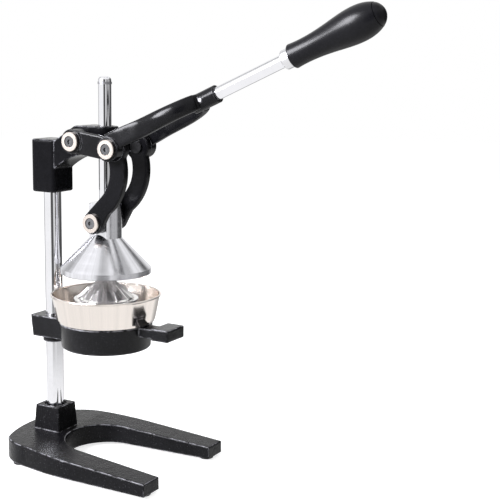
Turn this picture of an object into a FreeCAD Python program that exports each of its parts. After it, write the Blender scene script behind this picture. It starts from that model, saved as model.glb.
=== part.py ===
import FreeCAD, Part
import math
import os

# Lever citrus juice press, life size, in millimetres.
# The origin is under the middle of the whole press, on the surface that the rubber feet stand on.
# +Z is up. The handle and the base's two prongs point along -Y. The plane X = 0 is the middle.
# The letter u is the distance forward of the press rod. Shapes are drawn round the press rod's axis,
# with y = -u, and each is moved back by rod_setback when it is saved.
rod_setback = 117.0

# Base casting and feet
foot_height = 4.0
foot_radius = 9.0
foot_edge_radius = 1.0
foot_recess_radius = 4.0
foot_recess_depth = 2.2
foot_screw_radius = 1.6
foot_screw_head_radius = 3.6
foot_screw_reach = 8.0
front_foot_inset = 17.0
front_foot_setback = 12.0
rear_foot_inset = 22.0
rear_foot_setback = 37.0
base_half_width = 88.0
base_tip_draw_in = 0.5
base_flank_draw_in = 2.0
base_shoulder_draw_in = 7.0
base_shoulder_setback = 57.0
base_corner_draw_in = 14.0
base_corner_setback = 30.0
base_heel_draw_in = 26.0
base_heel_setback = 14.0
base_back_u = -121.0
base_tip_u = 115.0
base_rear_height = 25.5
base_tip_height = 15.2
base_slope_start_u = -60.0
base_edge_radius = 1.6
notch_radius = 49.5
notch_centre_u = -3.0
notch_flare = 7.0

# Post and its pedestal
post_u = -81.0
post_radius = 11.0
post_seat_z = 21.0
post_floor_thickness = 5.0
post_top_z = 391.0
post_end_chamfer = 1.0
pedestal_top_z = 60.9
pedestal_top_half = 17.8
pedestal_foot_half = 20.2
pedestal_sink = 6.0
pedestal_edge_radius = 1.6
pedestal_mouth_radius = 14.2
pedestal_mouth_depth = 4.0
post_fit = 0.05
base_bolt_radius = 5.0
base_bolt_grip = 22.0
base_bolt_head_radius = 9.0
base_bolt_head_height = 6.4
base_washer_radius = 11.0
base_washer_height = 2.0

# Top bracket: a block clamped on the post and an arm that carries the rod guide
bracket_half_width = 19.8
block_back_u = -98.2
block_front_u = -62.4
block_bottom_z = 334.8
block_top_z = 399.8
block_corner_radius = 5.0
block_edge_radius = 2.5
arm_top_z = 418.5
arm_half_width = 18.0
arm_crown_u = -30.5
arm_throat_z = 365.6
arm_belly_u = -46.0
arm_belly_z = 375.8
arm_taper_start_u = -12.0
guide_radius = 16.0
guide_bottom_z = 385.0
guide_bush_length = 12.0
guide_bush_wall = 2.0
guide_bush_inset = 0.5
set_screw_radius = 4.0
set_screw_socket_radius = 2.0
set_screw_socket_depth = 3.5

# Press rod and press cone
rod_radius = 8.0
rod_top_z = 477.4
rod_bottom_z = 291.0
rod_tip_radius = 5.0
rod_groove_top_z = 471.0
rod_groove_height = 3.2
rod_groove_depth = 1.2
running_fit = 0.05
hub_radius = 19.8
hub_top_z = 326.0
hub_flat_half = 15.4
cone_rim_radius = 55.1
cone_rim_top_z = 247.6
cone_rim_bottom_z = 239.9
cone_shoulder_z = 284.0
cone_cavity_rim_radius = 50.5
cone_cavity_shoulder_radius = 20.0
cone_cavity_shoulder_z = 254.5
cone_cavity_apex_z = 261.0
cone_groove_count = 10
cone_groove_radius = 2.6
rod_set_screw_radius = 2.5

# Linkage: lever pivot A on the bracket, lever pivot B on the curved links, pivot C on the cone's hub
pivot_a_u = -19.7
pivot_a_z = 401.0
pivot_b_u = 32.35
pivot_b_z = 394.4
pivot_c_z = 303.9
lever_down_deg = -20.0
lever_up_deg = 50.0
rod_travel_per_radian = 47.4
link_turn_ratio = 0.075
shaft_a_radius = 6.0
pin_b_radius = 5.0
shaft_c_radius = 6.0
side_play = 0.3
cap_radius = 11.3
cap_thickness = 4.0
cap_floor = 1.2
cap_screw_head_radius = 6.6
cap_screw_radius = 3.0
cap_screw_length = 12.0
cap_hex_across = 5.0
outer_cap_face_x = 44.65

# Lever fork, in its own slope: s runs along the handle bar from below pivot B, t is square to it
lever_slope_deg = 24.4
bar_line_u = 160.2
bar_line_z = 463.1
lever_boss_radius = 14.6
lever_web_inner_x = 30.2
lever_web_outer_x = 38.3
lever_web_drop = 1.0
prong_thickness = 8.0
prong_corner_radius = 3.0
prong_root_height = 22.2
prong_end_height = 18.0
prong_root_middle = -2.7
prong_end_middle = 0.0
prong_draw_in_start_s = 14.0
prong_draw_in_end_s = 50.0
prong_half_width_run = 32.5
prong_bow_start_s = 66.0
prong_bow_length = 55.5
prong_end_s = 119.0
socket_radius = 10.4
socket_end_s = 140.6
socket_start_s = 106.0
bar_start_s = 111.0
bar_radius = 7.5
pin_handle_s = 121.0
pin_handle_radius = 2.5

# Handle bar and grip, as distances along the same slope
ferrule_start_s = 231.5
ferrule_radius = 11.2
ferrule_spigot_length = 6.0
grip_start_s = 242.0
grip_mouth_radius = 13.9
grip_waist_s = 260.0
grip_waist_radius = 13.3
grip_knee_s = 289.0
grip_knee_radius = 15.6
grip_swell_s = 319.0
grip_swell_radius = 19.3
grip_dome_s = 339.0
grip_dome_radius = 17.8
grip_end_s = 349.0
grip_end_radius = 13.9
plug_tip_s = 357.8
plug_joint = 0.5
bar_end_s = 335.0

# Curved links; the lower caps sit on their outer faces
link_inner_x = 18.6
link_outer_x = 27.9
link_outer_arc_radius = 65.6
link_outer_arc_stop_deg = 22.0
link_width = 21.8
link_eye_offset = 2.6
link_foot_offset = 11.0
link_eye_radius = 16.5
link_foot_radius = 13.75
link_foot_step = 0.7
link_edge_radius = 2.0
link_corner_radius = 4.0
link_eye_step = 1.3
link_eye_face_radius = 13.9

# Ring that holds the bowl, bowl and strainer
ring_outer_radius = 57.3
ring_foot_radius = 54.8
ring_inner_radius = 49.0
ring_top_z = 180.0
ring_height = 31.4
collar_half_width = 19.5
collar_back_u = -104.0
collar_top_drop = 2.0
collar_height = 26.5
collar_boss_radius = 14.4
collar_boss_drop = 7.0
tab_neck_half_width = 11.0
tab_half_width = 18.8
tab_start_u = 78.0
tab_end_u = 102.0
tab_rise = 3.0
tab_thickness = 14.5
bowl_rim_radius = 67.6
bowl_height = 34.5
bowl_foot_radius = 60.5
bowl_corner_radius = 4.0
bowl_wall = 1.0
bowl_lip_radius = 1.3
bowl_seat_gap = 0.1
funnel_mouth_radius = 46.0
spout_radius = 11.0
funnel_depth = 28.1
spout_length = 14.0
strainer_gap = 0.5
strainer_floor_rise = 10.0
strainer_lip_height = 3.0
strainer_wall = 1.2
strainer_step_radius = 40.5
strainer_step_rise = 18.5
reamer_radius = 34.0
reamer_height = 24.5
reamer_rib_count = 12
reamer_rib_radius = 1.7
strainer_foot_circle = 52.0
strainer_foot_radius = 2.2
strainer_hole_radius = 1.6
strainer_hole_rings = 3
strainer_holes_per_ring = 36

# Lines that follow from the sizes above
base_bottom_z = foot_height
base_rear_top_z = base_bottom_z + base_rear_height
base_tip_top_z = base_bottom_z + base_tip_height
post_floor_z = post_seat_z - post_floor_thickness
slope = math.radians(lever_slope_deg)
ring_bottom_z = ring_top_z - ring_height
collar_top_z = ring_top_z - collar_top_drop
collar_bottom_z = collar_top_z - collar_height
collar_boss_bottom_z = collar_bottom_z - collar_boss_drop
tab_top_z = ring_top_z + tab_rise
tab_bottom_z = tab_top_z - tab_thickness
bowl_seat_z = ring_top_z + bowl_seat_gap
bowl_rim_z = bowl_seat_z + bowl_height
funnel_end_z = bowl_seat_z - funnel_depth
spout_end_z = funnel_end_z - spout_length
strainer_floor_z = ring_top_z + strainer_floor_rise
strainer_step_z = strainer_floor_z + strainer_step_rise
reamer_top_z = strainer_step_z + reamer_height
lower_cap_face_x = link_outer_x + cap_thickness
link_middle_radius = link_outer_arc_radius - link_width / 2
link_span = math.hypot(pivot_b_u, pivot_b_z - pivot_c_z)
link_foot_share = ((link_middle_radius + link_foot_offset) ** 2 - (link_middle_radius + link_eye_offset) ** 2
                   + link_span ** 2) / (2 * link_span)
link_bow = math.sqrt((link_middle_radius + link_foot_offset) ** 2 - link_foot_share ** 2)
link_arc_u = (link_foot_share * pivot_b_u - link_bow * (pivot_b_z - pivot_c_z)) / link_span
link_arc_z = pivot_c_z + (link_foot_share * (pivot_b_z - pivot_c_z) + link_bow * pivot_b_u) / link_span
link_stop_angle = math.atan2(pivot_c_z - link_arc_z, -link_arc_u) + math.radians(link_outer_arc_stop_deg)

os.makedirs("parts", exist_ok=True)


def at(x, u, z):
    """A point from its sideways place, its distance forward and its height."""
    return FreeCAD.Vector(x, -u, z)


def wire(*edges):
    """One wire from edges that follow each other."""
    return Part.Wire(Part.__sortEdges__(list(edges)))


def line(a, b):
    return Part.makeLine(a, b)


def arc(a, b, c):
    """The arc from a through b to c."""
    return Part.Arc(a, b, c).toShape()


def polygon(points):
    return Part.makePolygon(list(points) + [points[0]])


def along_x(closed_wire, length):
    """A wire in a plane of constant x, as a solid of this length towards +X."""
    return Part.Face(closed_wire).extrude(FreeCAD.Vector(length, 0, 0))


def cylinder_x(u, z, radius, x0, x1):
    return Part.makeCylinder(radius, x1 - x0, at(x0, u, z), FreeCAD.Vector(1, 0, 0))


def cylinder_z(x, u, radius, z0, z1):
    return Part.makeCylinder(radius, z1 - z0, at(x, u, z0), FreeCAD.Vector(0, 0, 1))


def box(x0, x1, u0, u1, z0, z1):
    return Part.makeBox(x1 - x0, u1 - u0, z1 - z0, at(x0, u1, z0))


def turned(profile, centre_u=0.0):
    """A solid turned about the upright line at centre_u, from (radius, z) points."""
    points = [at(r, centre_u, z) for r, z in profile]
    face = Part.Face(polygon(points))
    return face.revolve(at(0, centre_u, 0), FreeCAD.Vector(0, 0, 1), 360)


def mirrored(shape):
    """The same piece on the other side of the middle plane."""
    return shape.mirror(FreeCAD.Vector(0, 0, 0), FreeCAD.Vector(1, 0, 0))


def both_sides(shape):
    """A group of the piece and its mirror copy."""
    return Part.makeCompound([shape, mirrored(shape)])


def hexagon_x(u, z, across, x0, x1):
    """A hexagonal prism along X."""
    corner = across / math.sqrt(3)
    points = [at(x0, u + corner * math.cos(math.radians(a)), z + corner * math.sin(math.radians(a)))
              for a in range(0, 360, 60)]
    return along_x(polygon(points), x1 - x0)


def hexagon_z(x, u, across, z0, z1):
    """An upright hexagonal prism."""
    corner = across / math.sqrt(3)
    points = [at(x + corner * math.cos(math.radians(a)), u + corner * math.sin(math.radians(a)), z0)
              for a in range(0, 360, 60)]
    return Part.Face(polygon(points)).extrude(FreeCAD.Vector(0, 0, z1 - z0))


def on_slope(s, t, x=0.0):
    """A point of the lever: s along the handle bar's line, t square to it, x sideways."""
    drop = (pivot_b_u - bar_line_u) * math.cos(slope) + (pivot_b_z - bar_line_z) * math.sin(slope)
    s_line = s + drop
    u = bar_line_u + s_line * math.cos(slope) - t * math.sin(slope)
    z = bar_line_z + s_line * math.sin(slope) + t * math.cos(slope)
    return at(x, u, z)


def slope_direction():
    return FreeCAD.Vector(0, -math.cos(slope), math.sin(slope))


def cylinder_on_slope(radius, s0, s1):
    return Part.makeCylinder(radius, s1 - s0, on_slope(s0, 0), slope_direction())


def link_slip(angle):
    """How far pivot B leaves the link's eye when the lever turns by this angle, as (forward, up).

    The rod's travel and the link's turn are taken as proportional to the lever's turn.
    """
    turned_by = math.atan2(pivot_b_z - pivot_a_z, pivot_b_u - pivot_a_u) + angle
    reach = math.hypot(pivot_b_z - pivot_a_z, pivot_b_u - pivot_a_u)
    u = pivot_a_u + reach * math.cos(turned_by)
    z = pivot_a_z + reach * math.sin(turned_by) - pivot_c_z - rod_travel_per_radian * angle
    back = -link_turn_ratio * angle
    forward = u * math.cos(back) - z * math.sin(back) - pivot_b_u
    up = u * math.sin(back) + z * math.cos(back) - (pivot_b_z - pivot_c_z)
    return forward, up


def slip_limits():
    """The least and greatest slip over the lever's range, forward and up."""
    steps = 70
    span = lever_up_deg - lever_down_deg
    slips = [link_slip(math.radians(lever_down_deg + span * i / steps)) for i in range(steps + 1)]
    forward = [s[0] for s in slips]
    up = [s[1] for s in slips]
    return min(forward), max(forward), min(up), max(up)


def base_outline():
    """The base's outer outline in plan, at its underside's height."""
    def p(x, u):
        return at(x, u, base_bottom_z)
    tip = p(base_half_width - base_tip_draw_in, base_tip_u)
    widest = p(base_half_width, 0)
    flank = p(base_half_width - base_flank_draw_in, (base_back_u + base_shoulder_setback) / 2)
    shoulder = p(base_half_width - base_shoulder_draw_in, base_back_u + base_shoulder_setback)
    corner = p(base_half_width - base_corner_draw_in, base_back_u + base_corner_setback)
    heel = p(base_half_width - base_heel_draw_in, base_back_u + base_heel_setback)
    back = p(0, base_back_u)
    right = [line(tip, widest), arc(widest, flank, shoulder), arc(shoulder, corner, heel)]
    left = [e.mirror(FreeCAD.Vector(0, 0, 0), FreeCAD.Vector(1, 0, 0)) for e in right]
    across = [arc(heel, back, FreeCAD.Vector(-heel.x, heel.y, heel.z)),
              line(tip, FreeCAD.Vector(-tip.x, tip.y, tip.z))]
    return wire(*(right + left + across))


def notch_outline():
    """The U-shaped notch in plan, open past the prongs' tips."""
    past = base_tip_u + 20.0
    rate = notch_flare / (base_tip_u - notch_centre_u)
    tip_half = notch_radius + rate * (past - notch_centre_u)
    z = base_bottom_z
    return wire(
        line(at(tip_half, past, z), at(notch_radius, notch_centre_u, z)),
        arc(at(notch_radius, notch_centre_u, z), at(0, notch_centre_u - notch_radius, z),
            at(-notch_radius, notch_centre_u, z)),
        line(at(-notch_radius, notch_centre_u, z), at(-tip_half, past, z)),
        line(at(-tip_half, past, z), at(tip_half, past, z)),
    )


def foot_places():
    places = ((base_half_width - front_foot_inset, base_tip_u - front_foot_setback),
              (base_half_width - rear_foot_inset, base_back_u + rear_foot_setback))
    return [(side * x, u) for x, u in places for side in (-1, 1)]


def make_base_casting():
    """A slab with a U notch, a sloping top, the feet's screw holes and the post's pedestal."""
    rise = FreeCAD.Vector(0, 0, base_rear_height + 5.0)
    body = Part.Face(base_outline()).extrude(rise)
    body = body.cut(Part.Face(notch_outline()).extrude(rise))
    body = body.common(under_sloping_top())
    top_edges = [e for e in body.Edges
                 if min(v.Point.z for v in e.Vertexes) > base_tip_top_z - 2.0
                 and not all(abs(v.Point.y + base_slope_start_u) < 0.5 for v in e.Vertexes)]
    body = body.makeFillet(base_edge_radius, top_edges)
    pedestal = Part.makeLoft([
        square(pedestal_foot_half, base_rear_top_z - pedestal_sink),
        square(pedestal_top_half, pedestal_top_z)], True, True)
    pedestal = pedestal.makeFillet(pedestal_edge_radius, [e for e in pedestal.Edges if e.BoundBox.ZMax > pedestal_top_z - 0.1])
    body = body.fuse(pedestal)
    for x, u in foot_places():
        body = body.cut(cylinder_z(x, u, foot_screw_radius + 0.02, base_bottom_z - 1,
                                   base_bottom_z + foot_screw_reach + 0.5))
    body = body.cut(cylinder_z(0, post_u, post_radius + post_fit, post_seat_z, pedestal_top_z + 1))
    body = body.cut(cylinder_z(0, post_u, pedestal_mouth_radius, pedestal_top_z - pedestal_mouth_depth,
                               pedestal_top_z + 1))
    body = body.cut(cylinder_z(0, post_u, base_bolt_radius + 0.5, base_bottom_z - 1, post_seat_z + 1))
    return body.cut(cylinder_z(0, post_u, base_washer_radius + 1.0, base_bottom_z - 1, post_floor_z))


def under_sloping_top():
    """All the space under the base's top, which is level at the rear and slopes down to the tips."""
    far = base_back_u - 20.0
    past = base_half_width + 20.0
    fall = (base_tip_top_z - base_rear_top_z) / (base_tip_u - base_slope_start_u)
    end_u = base_tip_u + 20.0
    end_z = base_tip_top_z + fall * (end_u - base_tip_u)
    side = polygon([at(-past, far, base_bottom_z), at(-past, far, base_rear_top_z),
                    at(-past, base_slope_start_u, base_rear_top_z), at(-past, end_u, end_z),
                    at(-past, end_u, base_bottom_z)])
    return along_x(side, 2 * past)


def square(half, z):
    """The pedestal's square outline at height z, centred on the post."""
    return polygon([at(-half, post_u - half, z), at(half, post_u - half, z),
                    at(half, post_u + half, z), at(-half, post_u + half, z)])


def make_rubber_feet():
    feet = []
    for x, u in foot_places():
        foot = cylinder_z(x, u, foot_radius, 0, foot_height)
        foot = foot.makeFillet(foot_edge_radius, [e for e in foot.Edges if e.BoundBox.ZMax < 0.1])
        foot = foot.cut(cylinder_z(x, u, foot_recess_radius, -1, foot_recess_depth))
        feet.append(foot.cut(cylinder_z(x, u, foot_screw_radius + 0.02, 0, foot_height + 1)))
    return Part.makeCompound(feet)


def make_foot_screws():
    screws = []
    for x, u in foot_places():
        head = cylinder_z(x, u, foot_screw_head_radius, 0.6, foot_recess_depth)
        slot = box(x - foot_recess_radius, x + foot_recess_radius, u - 0.5, u + 0.5, 0.5, 1.2)
        screws.append(head.cut(slot).fuse(cylinder_z(x, u, foot_screw_radius, foot_recess_depth - 0.2,
                                                     base_bottom_z + foot_screw_reach)))
    return Part.makeCompound(screws)


def make_post():
    post = cylinder_z(0, post_u, post_radius, post_seat_z, post_top_z)
    post = post.makeChamfer(post_end_chamfer, [e for e in post.Edges if len(e.Vertexes) == 1])
    return post.cut(cylinder_z(0, post_u, base_bolt_radius, post_seat_z - 1, post_seat_z + base_bolt_grip))


def make_base_bolt():
    head_top = post_floor_z - base_washer_height
    head = hexagon_z(0, post_u, 2 * base_bolt_head_radius * math.cos(math.radians(30)),
                     head_top - base_bolt_head_height, head_top)
    return head.fuse(cylinder_z(0, post_u, base_bolt_radius - 0.02, head_top - 1,
                                post_seat_z + base_bolt_grip - 2.0))


def make_base_washer():
    ring = cylinder_z(0, post_u, base_washer_radius, post_floor_z - base_washer_height, post_floor_z)
    return ring.cut(cylinder_z(0, post_u, base_bolt_radius + 0.5, post_floor_z - 5, post_floor_z + 1))


def make_top_bracket():
    """A block bored for the post, and an arm that rises forward to the guide for the press rod."""
    block = box(-bracket_half_width, bracket_half_width, block_back_u, block_front_u, block_bottom_z, block_top_z)
    upright = [e for e in block.Edges if e.BoundBox.ZLength > 10]
    block = block.makeFillet(block_corner_radius, upright)
    block = block.makeFillet(block_edge_radius, [e for e in block.Edges if e.BoundBox.ZLength < 0.1])
    inside = block_front_u - 6.0

    def p(u, z):
        return at(-arm_half_width, u, z)
    side = wire(
        line(p(inside, block_top_z - 4.0), p(block_front_u + 0.5, block_top_z - 0.6)),
        line(p(block_front_u + 0.5, block_top_z - 0.6), p(arm_crown_u - 3.0, arm_top_z - 1.6)),
        arc(p(arm_crown_u - 3.0, arm_top_z - 1.6), p(arm_crown_u - 0.6, arm_top_z - 0.4), p(arm_crown_u + 2.5, arm_top_z)),
        line(p(arm_crown_u + 2.5, arm_top_z), p(0, arm_top_z)),
        line(p(0, arm_top_z), p(0, guide_bottom_z)),
        line(p(0, guide_bottom_z), p(-21.0, guide_bottom_z - 0.5)),
        arc(p(-21.0, guide_bottom_z - 0.5), p(arm_belly_u, arm_belly_z), p(block_front_u, arm_throat_z)),
        line(p(block_front_u, arm_throat_z), p(inside, arm_throat_z - 6.0)),
        line(p(inside, arm_throat_z - 6.0), p(inside, block_top_z - 4.0)),
    )
    arm = along_x(side, 2 * arm_half_width)
    past = guide_radius + 4.0
    top = wire(
        line(at(-arm_half_width, inside - 4, 300), at(-arm_half_width, arm_taper_start_u, 300)),
        line(at(-arm_half_width, arm_taper_start_u, 300), at(-guide_radius, 0, 300)),
        line(at(-guide_radius, 0, 300), at(-guide_radius, past, 300)),
        line(at(-guide_radius, past, 300), at(guide_radius, past, 300)),
        line(at(guide_radius, past, 300), at(guide_radius, 0, 300)),
        line(at(guide_radius, 0, 300), at(arm_half_width, arm_taper_start_u, 300)),
        line(at(arm_half_width, arm_taper_start_u, 300), at(arm_half_width, inside - 4, 300)),
        line(at(arm_half_width, inside - 4, 300), at(-arm_half_width, inside - 4, 300)),
    )
    arm = arm.common(Part.Face(top).extrude(FreeCAD.Vector(0, 0, 160)))
    guide = cylinder_z(0, 0, guide_radius, guide_bottom_z, arm_top_z)
    guide = guide.makeFillet(1.5, [e for e in guide.Edges if len(e.Vertexes) == 1])
    bracket = block.fuse([arm, guide])
    bracket = bracket.cut(cylinder_z(0, post_u, post_radius + post_fit, block_bottom_z - 1, post_top_z + 1.0))
    bracket = bracket.cut(cylinder_z(0, 0, rod_radius + guide_bush_wall + 0.02, guide_bottom_z - 1, arm_top_z + 1))
    bracket = bracket.cut(cylinder_x(pivot_a_u, pivot_a_z, shaft_a_radius + 2.02, -30, 30))
    for z in set_screw_heights():
        bracket = bracket.cut(set_screw_hole(z, block_back_u))
    return bracket.removeSplitter()


def set_screw_heights():
    middle = (block_bottom_z + block_top_z) / 2
    return [middle - 16.0, middle + 14.0]


def set_screw_hole(z, back_u):
    length = post_u - post_radius - back_u + 2.0
    return Part.makeCylinder(set_screw_radius + 0.02, length, at(0, back_u - 1.0, z), FreeCAD.Vector(0, -1, 0))


def make_set_screw(z, back_u, stand_out):
    """A socket grub screw that bears on the back of the post."""
    start_u = back_u - stand_out
    length = post_u - post_radius - 0.05 - start_u
    screw = Part.makeCylinder(set_screw_radius, length, at(0, start_u, z), FreeCAD.Vector(0, -1, 0))
    socket = Part.makeCylinder(set_screw_socket_radius, set_screw_socket_depth, at(0, start_u, z),
                               FreeCAD.Vector(0, -1, 0))
    return screw.cut(socket)


def make_bracket_set_screws():
    return Part.makeCompound([make_set_screw(z, block_back_u, -0.5) for z in set_screw_heights()])


def make_guide_bushes():
    bushes = []
    for z0 in (guide_bottom_z + guide_bush_inset, arm_top_z - guide_bush_inset - guide_bush_length):
        bush = cylinder_z(0, 0, rod_radius + guide_bush_wall, z0, z0 + guide_bush_length)
        bushes.append(bush.cut(cylinder_z(0, 0, rod_radius + running_fit, z0 - 1, z0 + guide_bush_length + 1)))
    return Part.makeCompound(bushes)


def make_pivot_a_bushes():
    """Flanged bushes in the arm's cross bore."""
    flange = cylinder_x(pivot_a_u, pivot_a_z, shaft_a_radius + 4.5, arm_half_width, arm_half_width + 1.2)
    bush = cylinder_x(pivot_a_u, pivot_a_z, shaft_a_radius + 2.0, 4.0, arm_half_width + 1.0).fuse(flange)
    bush = bush.cut(cylinder_x(pivot_a_u, pivot_a_z, shaft_a_radius + running_fit, 0, 30))
    return both_sides(bush)


def cap(u, z, face_x):
    """A thick turned cap ring over a shaft's end, recessed for a low screw head."""
    ring = cylinder_x(u, z, cap_radius, face_x - cap_thickness, face_x)
    ring = ring.makeChamfer(0.6, [e for e in ring.Edges if e.BoundBox.XMax > face_x - 0.01 and len(e.Vertexes) == 1])
    ring = ring.cut(cylinder_x(u, z, cap_screw_head_radius + 0.25, face_x - cap_thickness + cap_floor, face_x + 1))
    return ring.cut(cylinder_x(u, z, cap_screw_radius + 0.1, 0, face_x + 1))


def cap_screw(u, z, face_x):
    """A low-head socket screw that sits flush in the cap."""
    floor = face_x - cap_thickness + cap_floor
    head = cylinder_x(u, z, cap_screw_head_radius, floor, face_x - 0.4)
    head = head.makeChamfer(0.5, [e for e in head.Edges if e.BoundBox.XMin > face_x - 0.5])
    head = head.fuse(cylinder_x(u, z, cap_screw_radius, floor - cap_screw_length, floor + 0.5))
    return head.cut(hexagon_x(u, z, cap_hex_across, face_x - 2.2, face_x + 1))


def tapped_end(shape, u, z, face_x):
    """The shaft with the cap screw's hole in its end."""
    floor = face_x - cap_thickness + cap_floor
    return shape.cut(cylinder_x(u, z, cap_screw_radius + 0.02, floor - cap_screw_length - 1.5, face_x))


def make_pivot_shaft_a():
    end = outer_cap_face_x - cap_thickness
    shaft = cylinder_x(pivot_a_u, pivot_a_z, shaft_a_radius, -end, end)
    half = tapped_end(shaft, pivot_a_u, pivot_a_z, outer_cap_face_x)
    return mirrored(tapped_end(mirrored(half), pivot_a_u, pivot_a_z, outer_cap_face_x))


def make_pivot_b_pins():
    """A headed pin on each side; the head keeps the curved link on."""
    end = outer_cap_face_x - cap_thickness
    head_x = link_inner_x - side_play
    pin = cylinder_x(pivot_b_u, pivot_b_z, pin_b_radius, head_x - 1.0, end)
    pin = pin.fuse(cylinder_x(pivot_b_u, pivot_b_z, pin_b_radius + 3.0, head_x - 1.8, head_x))
    return both_sides(tapped_end(pin, pivot_b_u, pivot_b_z, outer_cap_face_x))


def make_pivot_shaft_c():
    end = lower_cap_face_x - cap_thickness
    shaft = cylinder_x(0, pivot_c_z, shaft_c_radius, -end, end)
    half = tapped_end(shaft, 0, pivot_c_z, lower_cap_face_x)
    return mirrored(tapped_end(mirrored(half), 0, pivot_c_z, lower_cap_face_x))


def prong_half_width(s):
    """The fork's outer half width at s: it draws in after pivot B, runs on, then closes like an ellipse."""
    if s < prong_bow_start_s:
        blend = (s - prong_draw_in_start_s) / (prong_draw_in_end_s - prong_draw_in_start_s)
        blend = min(max(blend, 0.0), 1.0)
        return lever_web_outer_x + (prong_half_width_run - lever_web_outer_x) * blend * blend * (3 - 2 * blend)
    bow = (s - prong_bow_start_s) / prong_bow_length
    return prong_half_width_run * math.sqrt(max(1.0 - bow * bow, 0.0))


def prong_section(s, x, turn, height, middle):
    """A rounded rectangle across the prong, turned with it in plan."""
    half_w = prong_thickness / 2
    half_h = height / 2
    r = prong_corner_radius

    def p(a, b):
        return on_slope(s - a * math.sin(turn), middle + b, x + a * math.cos(turn))
    k = r * (1 - math.sqrt(0.5))
    edges = []
    for sa, sb, first in ((1, 1, False), (-1, 1, True), (-1, -1, False), (1, -1, True)):
        side = p(sa * half_w, sb * (half_h - r))
        flat = p(sa * (half_w - r), sb * half_h)
        mid = p(sa * (half_w - k), sb * (half_h - k))
        edges.append((flat, mid, side) if first else (side, mid, flat))
    shapes = []
    for i, (a, m, b) in enumerate(edges):
        shapes.append(arc(a, m, b))
        shapes.append(line(b, edges[(i + 1) % 4][0]))
    return Part.Wire(shapes)


def make_prong():
    """One prong of the fork, from pivot B to the handle socket, as a loft of rounded sections."""
    sections = []
    stations = [prong_end_s * share for share in (
        0.0085, 0.118, 0.202, 0.286, 0.387, 0.504, 0.622, 0.74, 0.832, 0.903, 0.958, 1.0)]
    for s in stations:
        outer = prong_half_width(s)
        ahead = prong_half_width(s + 0.5)
        behind = prong_half_width(s - 0.5)
        turn = math.atan2(behind - ahead, 1.0)
        share = s / stations[-1]
        height = prong_root_height + (prong_end_height - prong_root_height) * share
        middle = prong_root_middle + (prong_end_middle - prong_root_middle) * share ** 4
        x = outer - prong_thickness / 2 * math.cos(turn)
        centre_s = s - prong_thickness / 2 * math.sin(turn)
        sections.append(prong_section(centre_s, x, -turn, height, middle))
    return Part.makeLoft(sections, True, False)


def make_lever_fork():
    """One casting: two bosses and a web on each side, two prongs and a socket for the handle bar."""
    boss_a = cylinder_x(pivot_a_u, pivot_a_z, lever_boss_radius, arm_half_width + 1.2 + side_play,
                        outer_cap_face_x - cap_thickness)
    boss_b = cylinder_x(pivot_b_u, pivot_b_z, lever_boss_radius, link_outer_x + link_eye_step + side_play,
                        outer_cap_face_x - cap_thickness)
    bosses = [b.makeFillet(0.8, [e for e in b.Edges if e.BoundBox.XMin > b.BoundBox.XMax - 0.1
                                 and len(e.Vertexes) == 1])
              for b in (boss_a, boss_b)]
    run_u = pivot_b_u - pivot_a_u
    run_z = pivot_b_z - pivot_a_z
    reach = math.hypot(run_u, run_z)
    off_u = -run_z / reach * (lever_boss_radius - lever_web_drop)
    off_z = run_u / reach * (lever_boss_radius - lever_web_drop)
    corners = [at(lever_web_inner_x, pivot_a_u + off_u, pivot_a_z + off_z),
               at(lever_web_inner_x, pivot_b_u + off_u, pivot_b_z + off_z),
               at(lever_web_inner_x, pivot_b_u - off_u, pivot_b_z - off_z),
               at(lever_web_inner_x, pivot_a_u - off_u, pivot_a_z - off_z)]
    web = along_x(polygon(corners), lever_web_outer_x - lever_web_inner_x)
    web = web.makeFillet(2.0, [e for e in web.Edges if e.BoundBox.XLength < 0.1 and e.Length > 40])
    side = bosses[0].fuse([bosses[1], web, make_prong()])
    side = side.cut(cylinder_x(pivot_a_u, pivot_a_z, shaft_a_radius + 0.02, 0, 60))
    side = side.cut(cylinder_x(pivot_b_u, pivot_b_z, pin_b_radius + 0.02, 0, 60))
    socket = cylinder_on_slope(socket_radius, socket_start_s, socket_end_s)
    socket = socket.makeFillet(1.2, [e for e in socket.Edges if len(e.Vertexes) == 1
                                      and e.BoundBox.Center.z > socket.BoundBox.Center.z])
    fork = side.fuse([mirrored(side), socket])
    fork = fork.cut(cylinder_on_slope(bar_radius + 0.02, bar_start_s, socket_end_s + 1))
    fork = fork.cut(handle_pin_hole(0.02))
    return fork.removeSplitter()


def handle_pin_hole(gap):
    """The cross hole through the socket and the handle bar, along X."""
    centre = on_slope(pin_handle_s, 0)
    return Part.makeCylinder(pin_handle_radius + gap, 40, centre - FreeCAD.Vector(20, 0, 0),
                             FreeCAD.Vector(1, 0, 0))


def make_handle_pin():
    half = socket_radius + 0.6
    centre = on_slope(pin_handle_s, 0)
    pin = Part.makeCylinder(pin_handle_radius, 2 * half, centre - FreeCAD.Vector(half, 0, 0),
                            FreeCAD.Vector(1, 0, 0))
    return pin.makeFillet(0.8, [e for e in pin.Edges if len(e.Vertexes) == 1])


def make_handle_bar():
    bar = cylinder_on_slope(bar_radius, bar_start_s + 0.2, bar_end_s)
    bar = bar.makeChamfer(1.0, [e for e in bar.Edges if len(e.Vertexes) == 1])
    return bar.cut(handle_pin_hole(0.02))


def make_grip_ferrule():
    ferrule = cylinder_on_slope(ferrule_radius, ferrule_start_s, grip_start_s)
    ferrule = ferrule.makeFillet(2.0, [e for e in ferrule.Edges if len(e.Vertexes) == 1
                                       and e.BoundBox.Center.z < on_slope(ferrule_start_s, 0).z + 1])
    spigot = cylinder_on_slope(ferrule_radius - 1.6, grip_start_s - 1, grip_start_s + ferrule_spigot_length)
    return ferrule.fuse(spigot).cut(cylinder_on_slope(bar_radius + 0.02, ferrule_start_s - 1, grip_knee_s))


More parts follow.
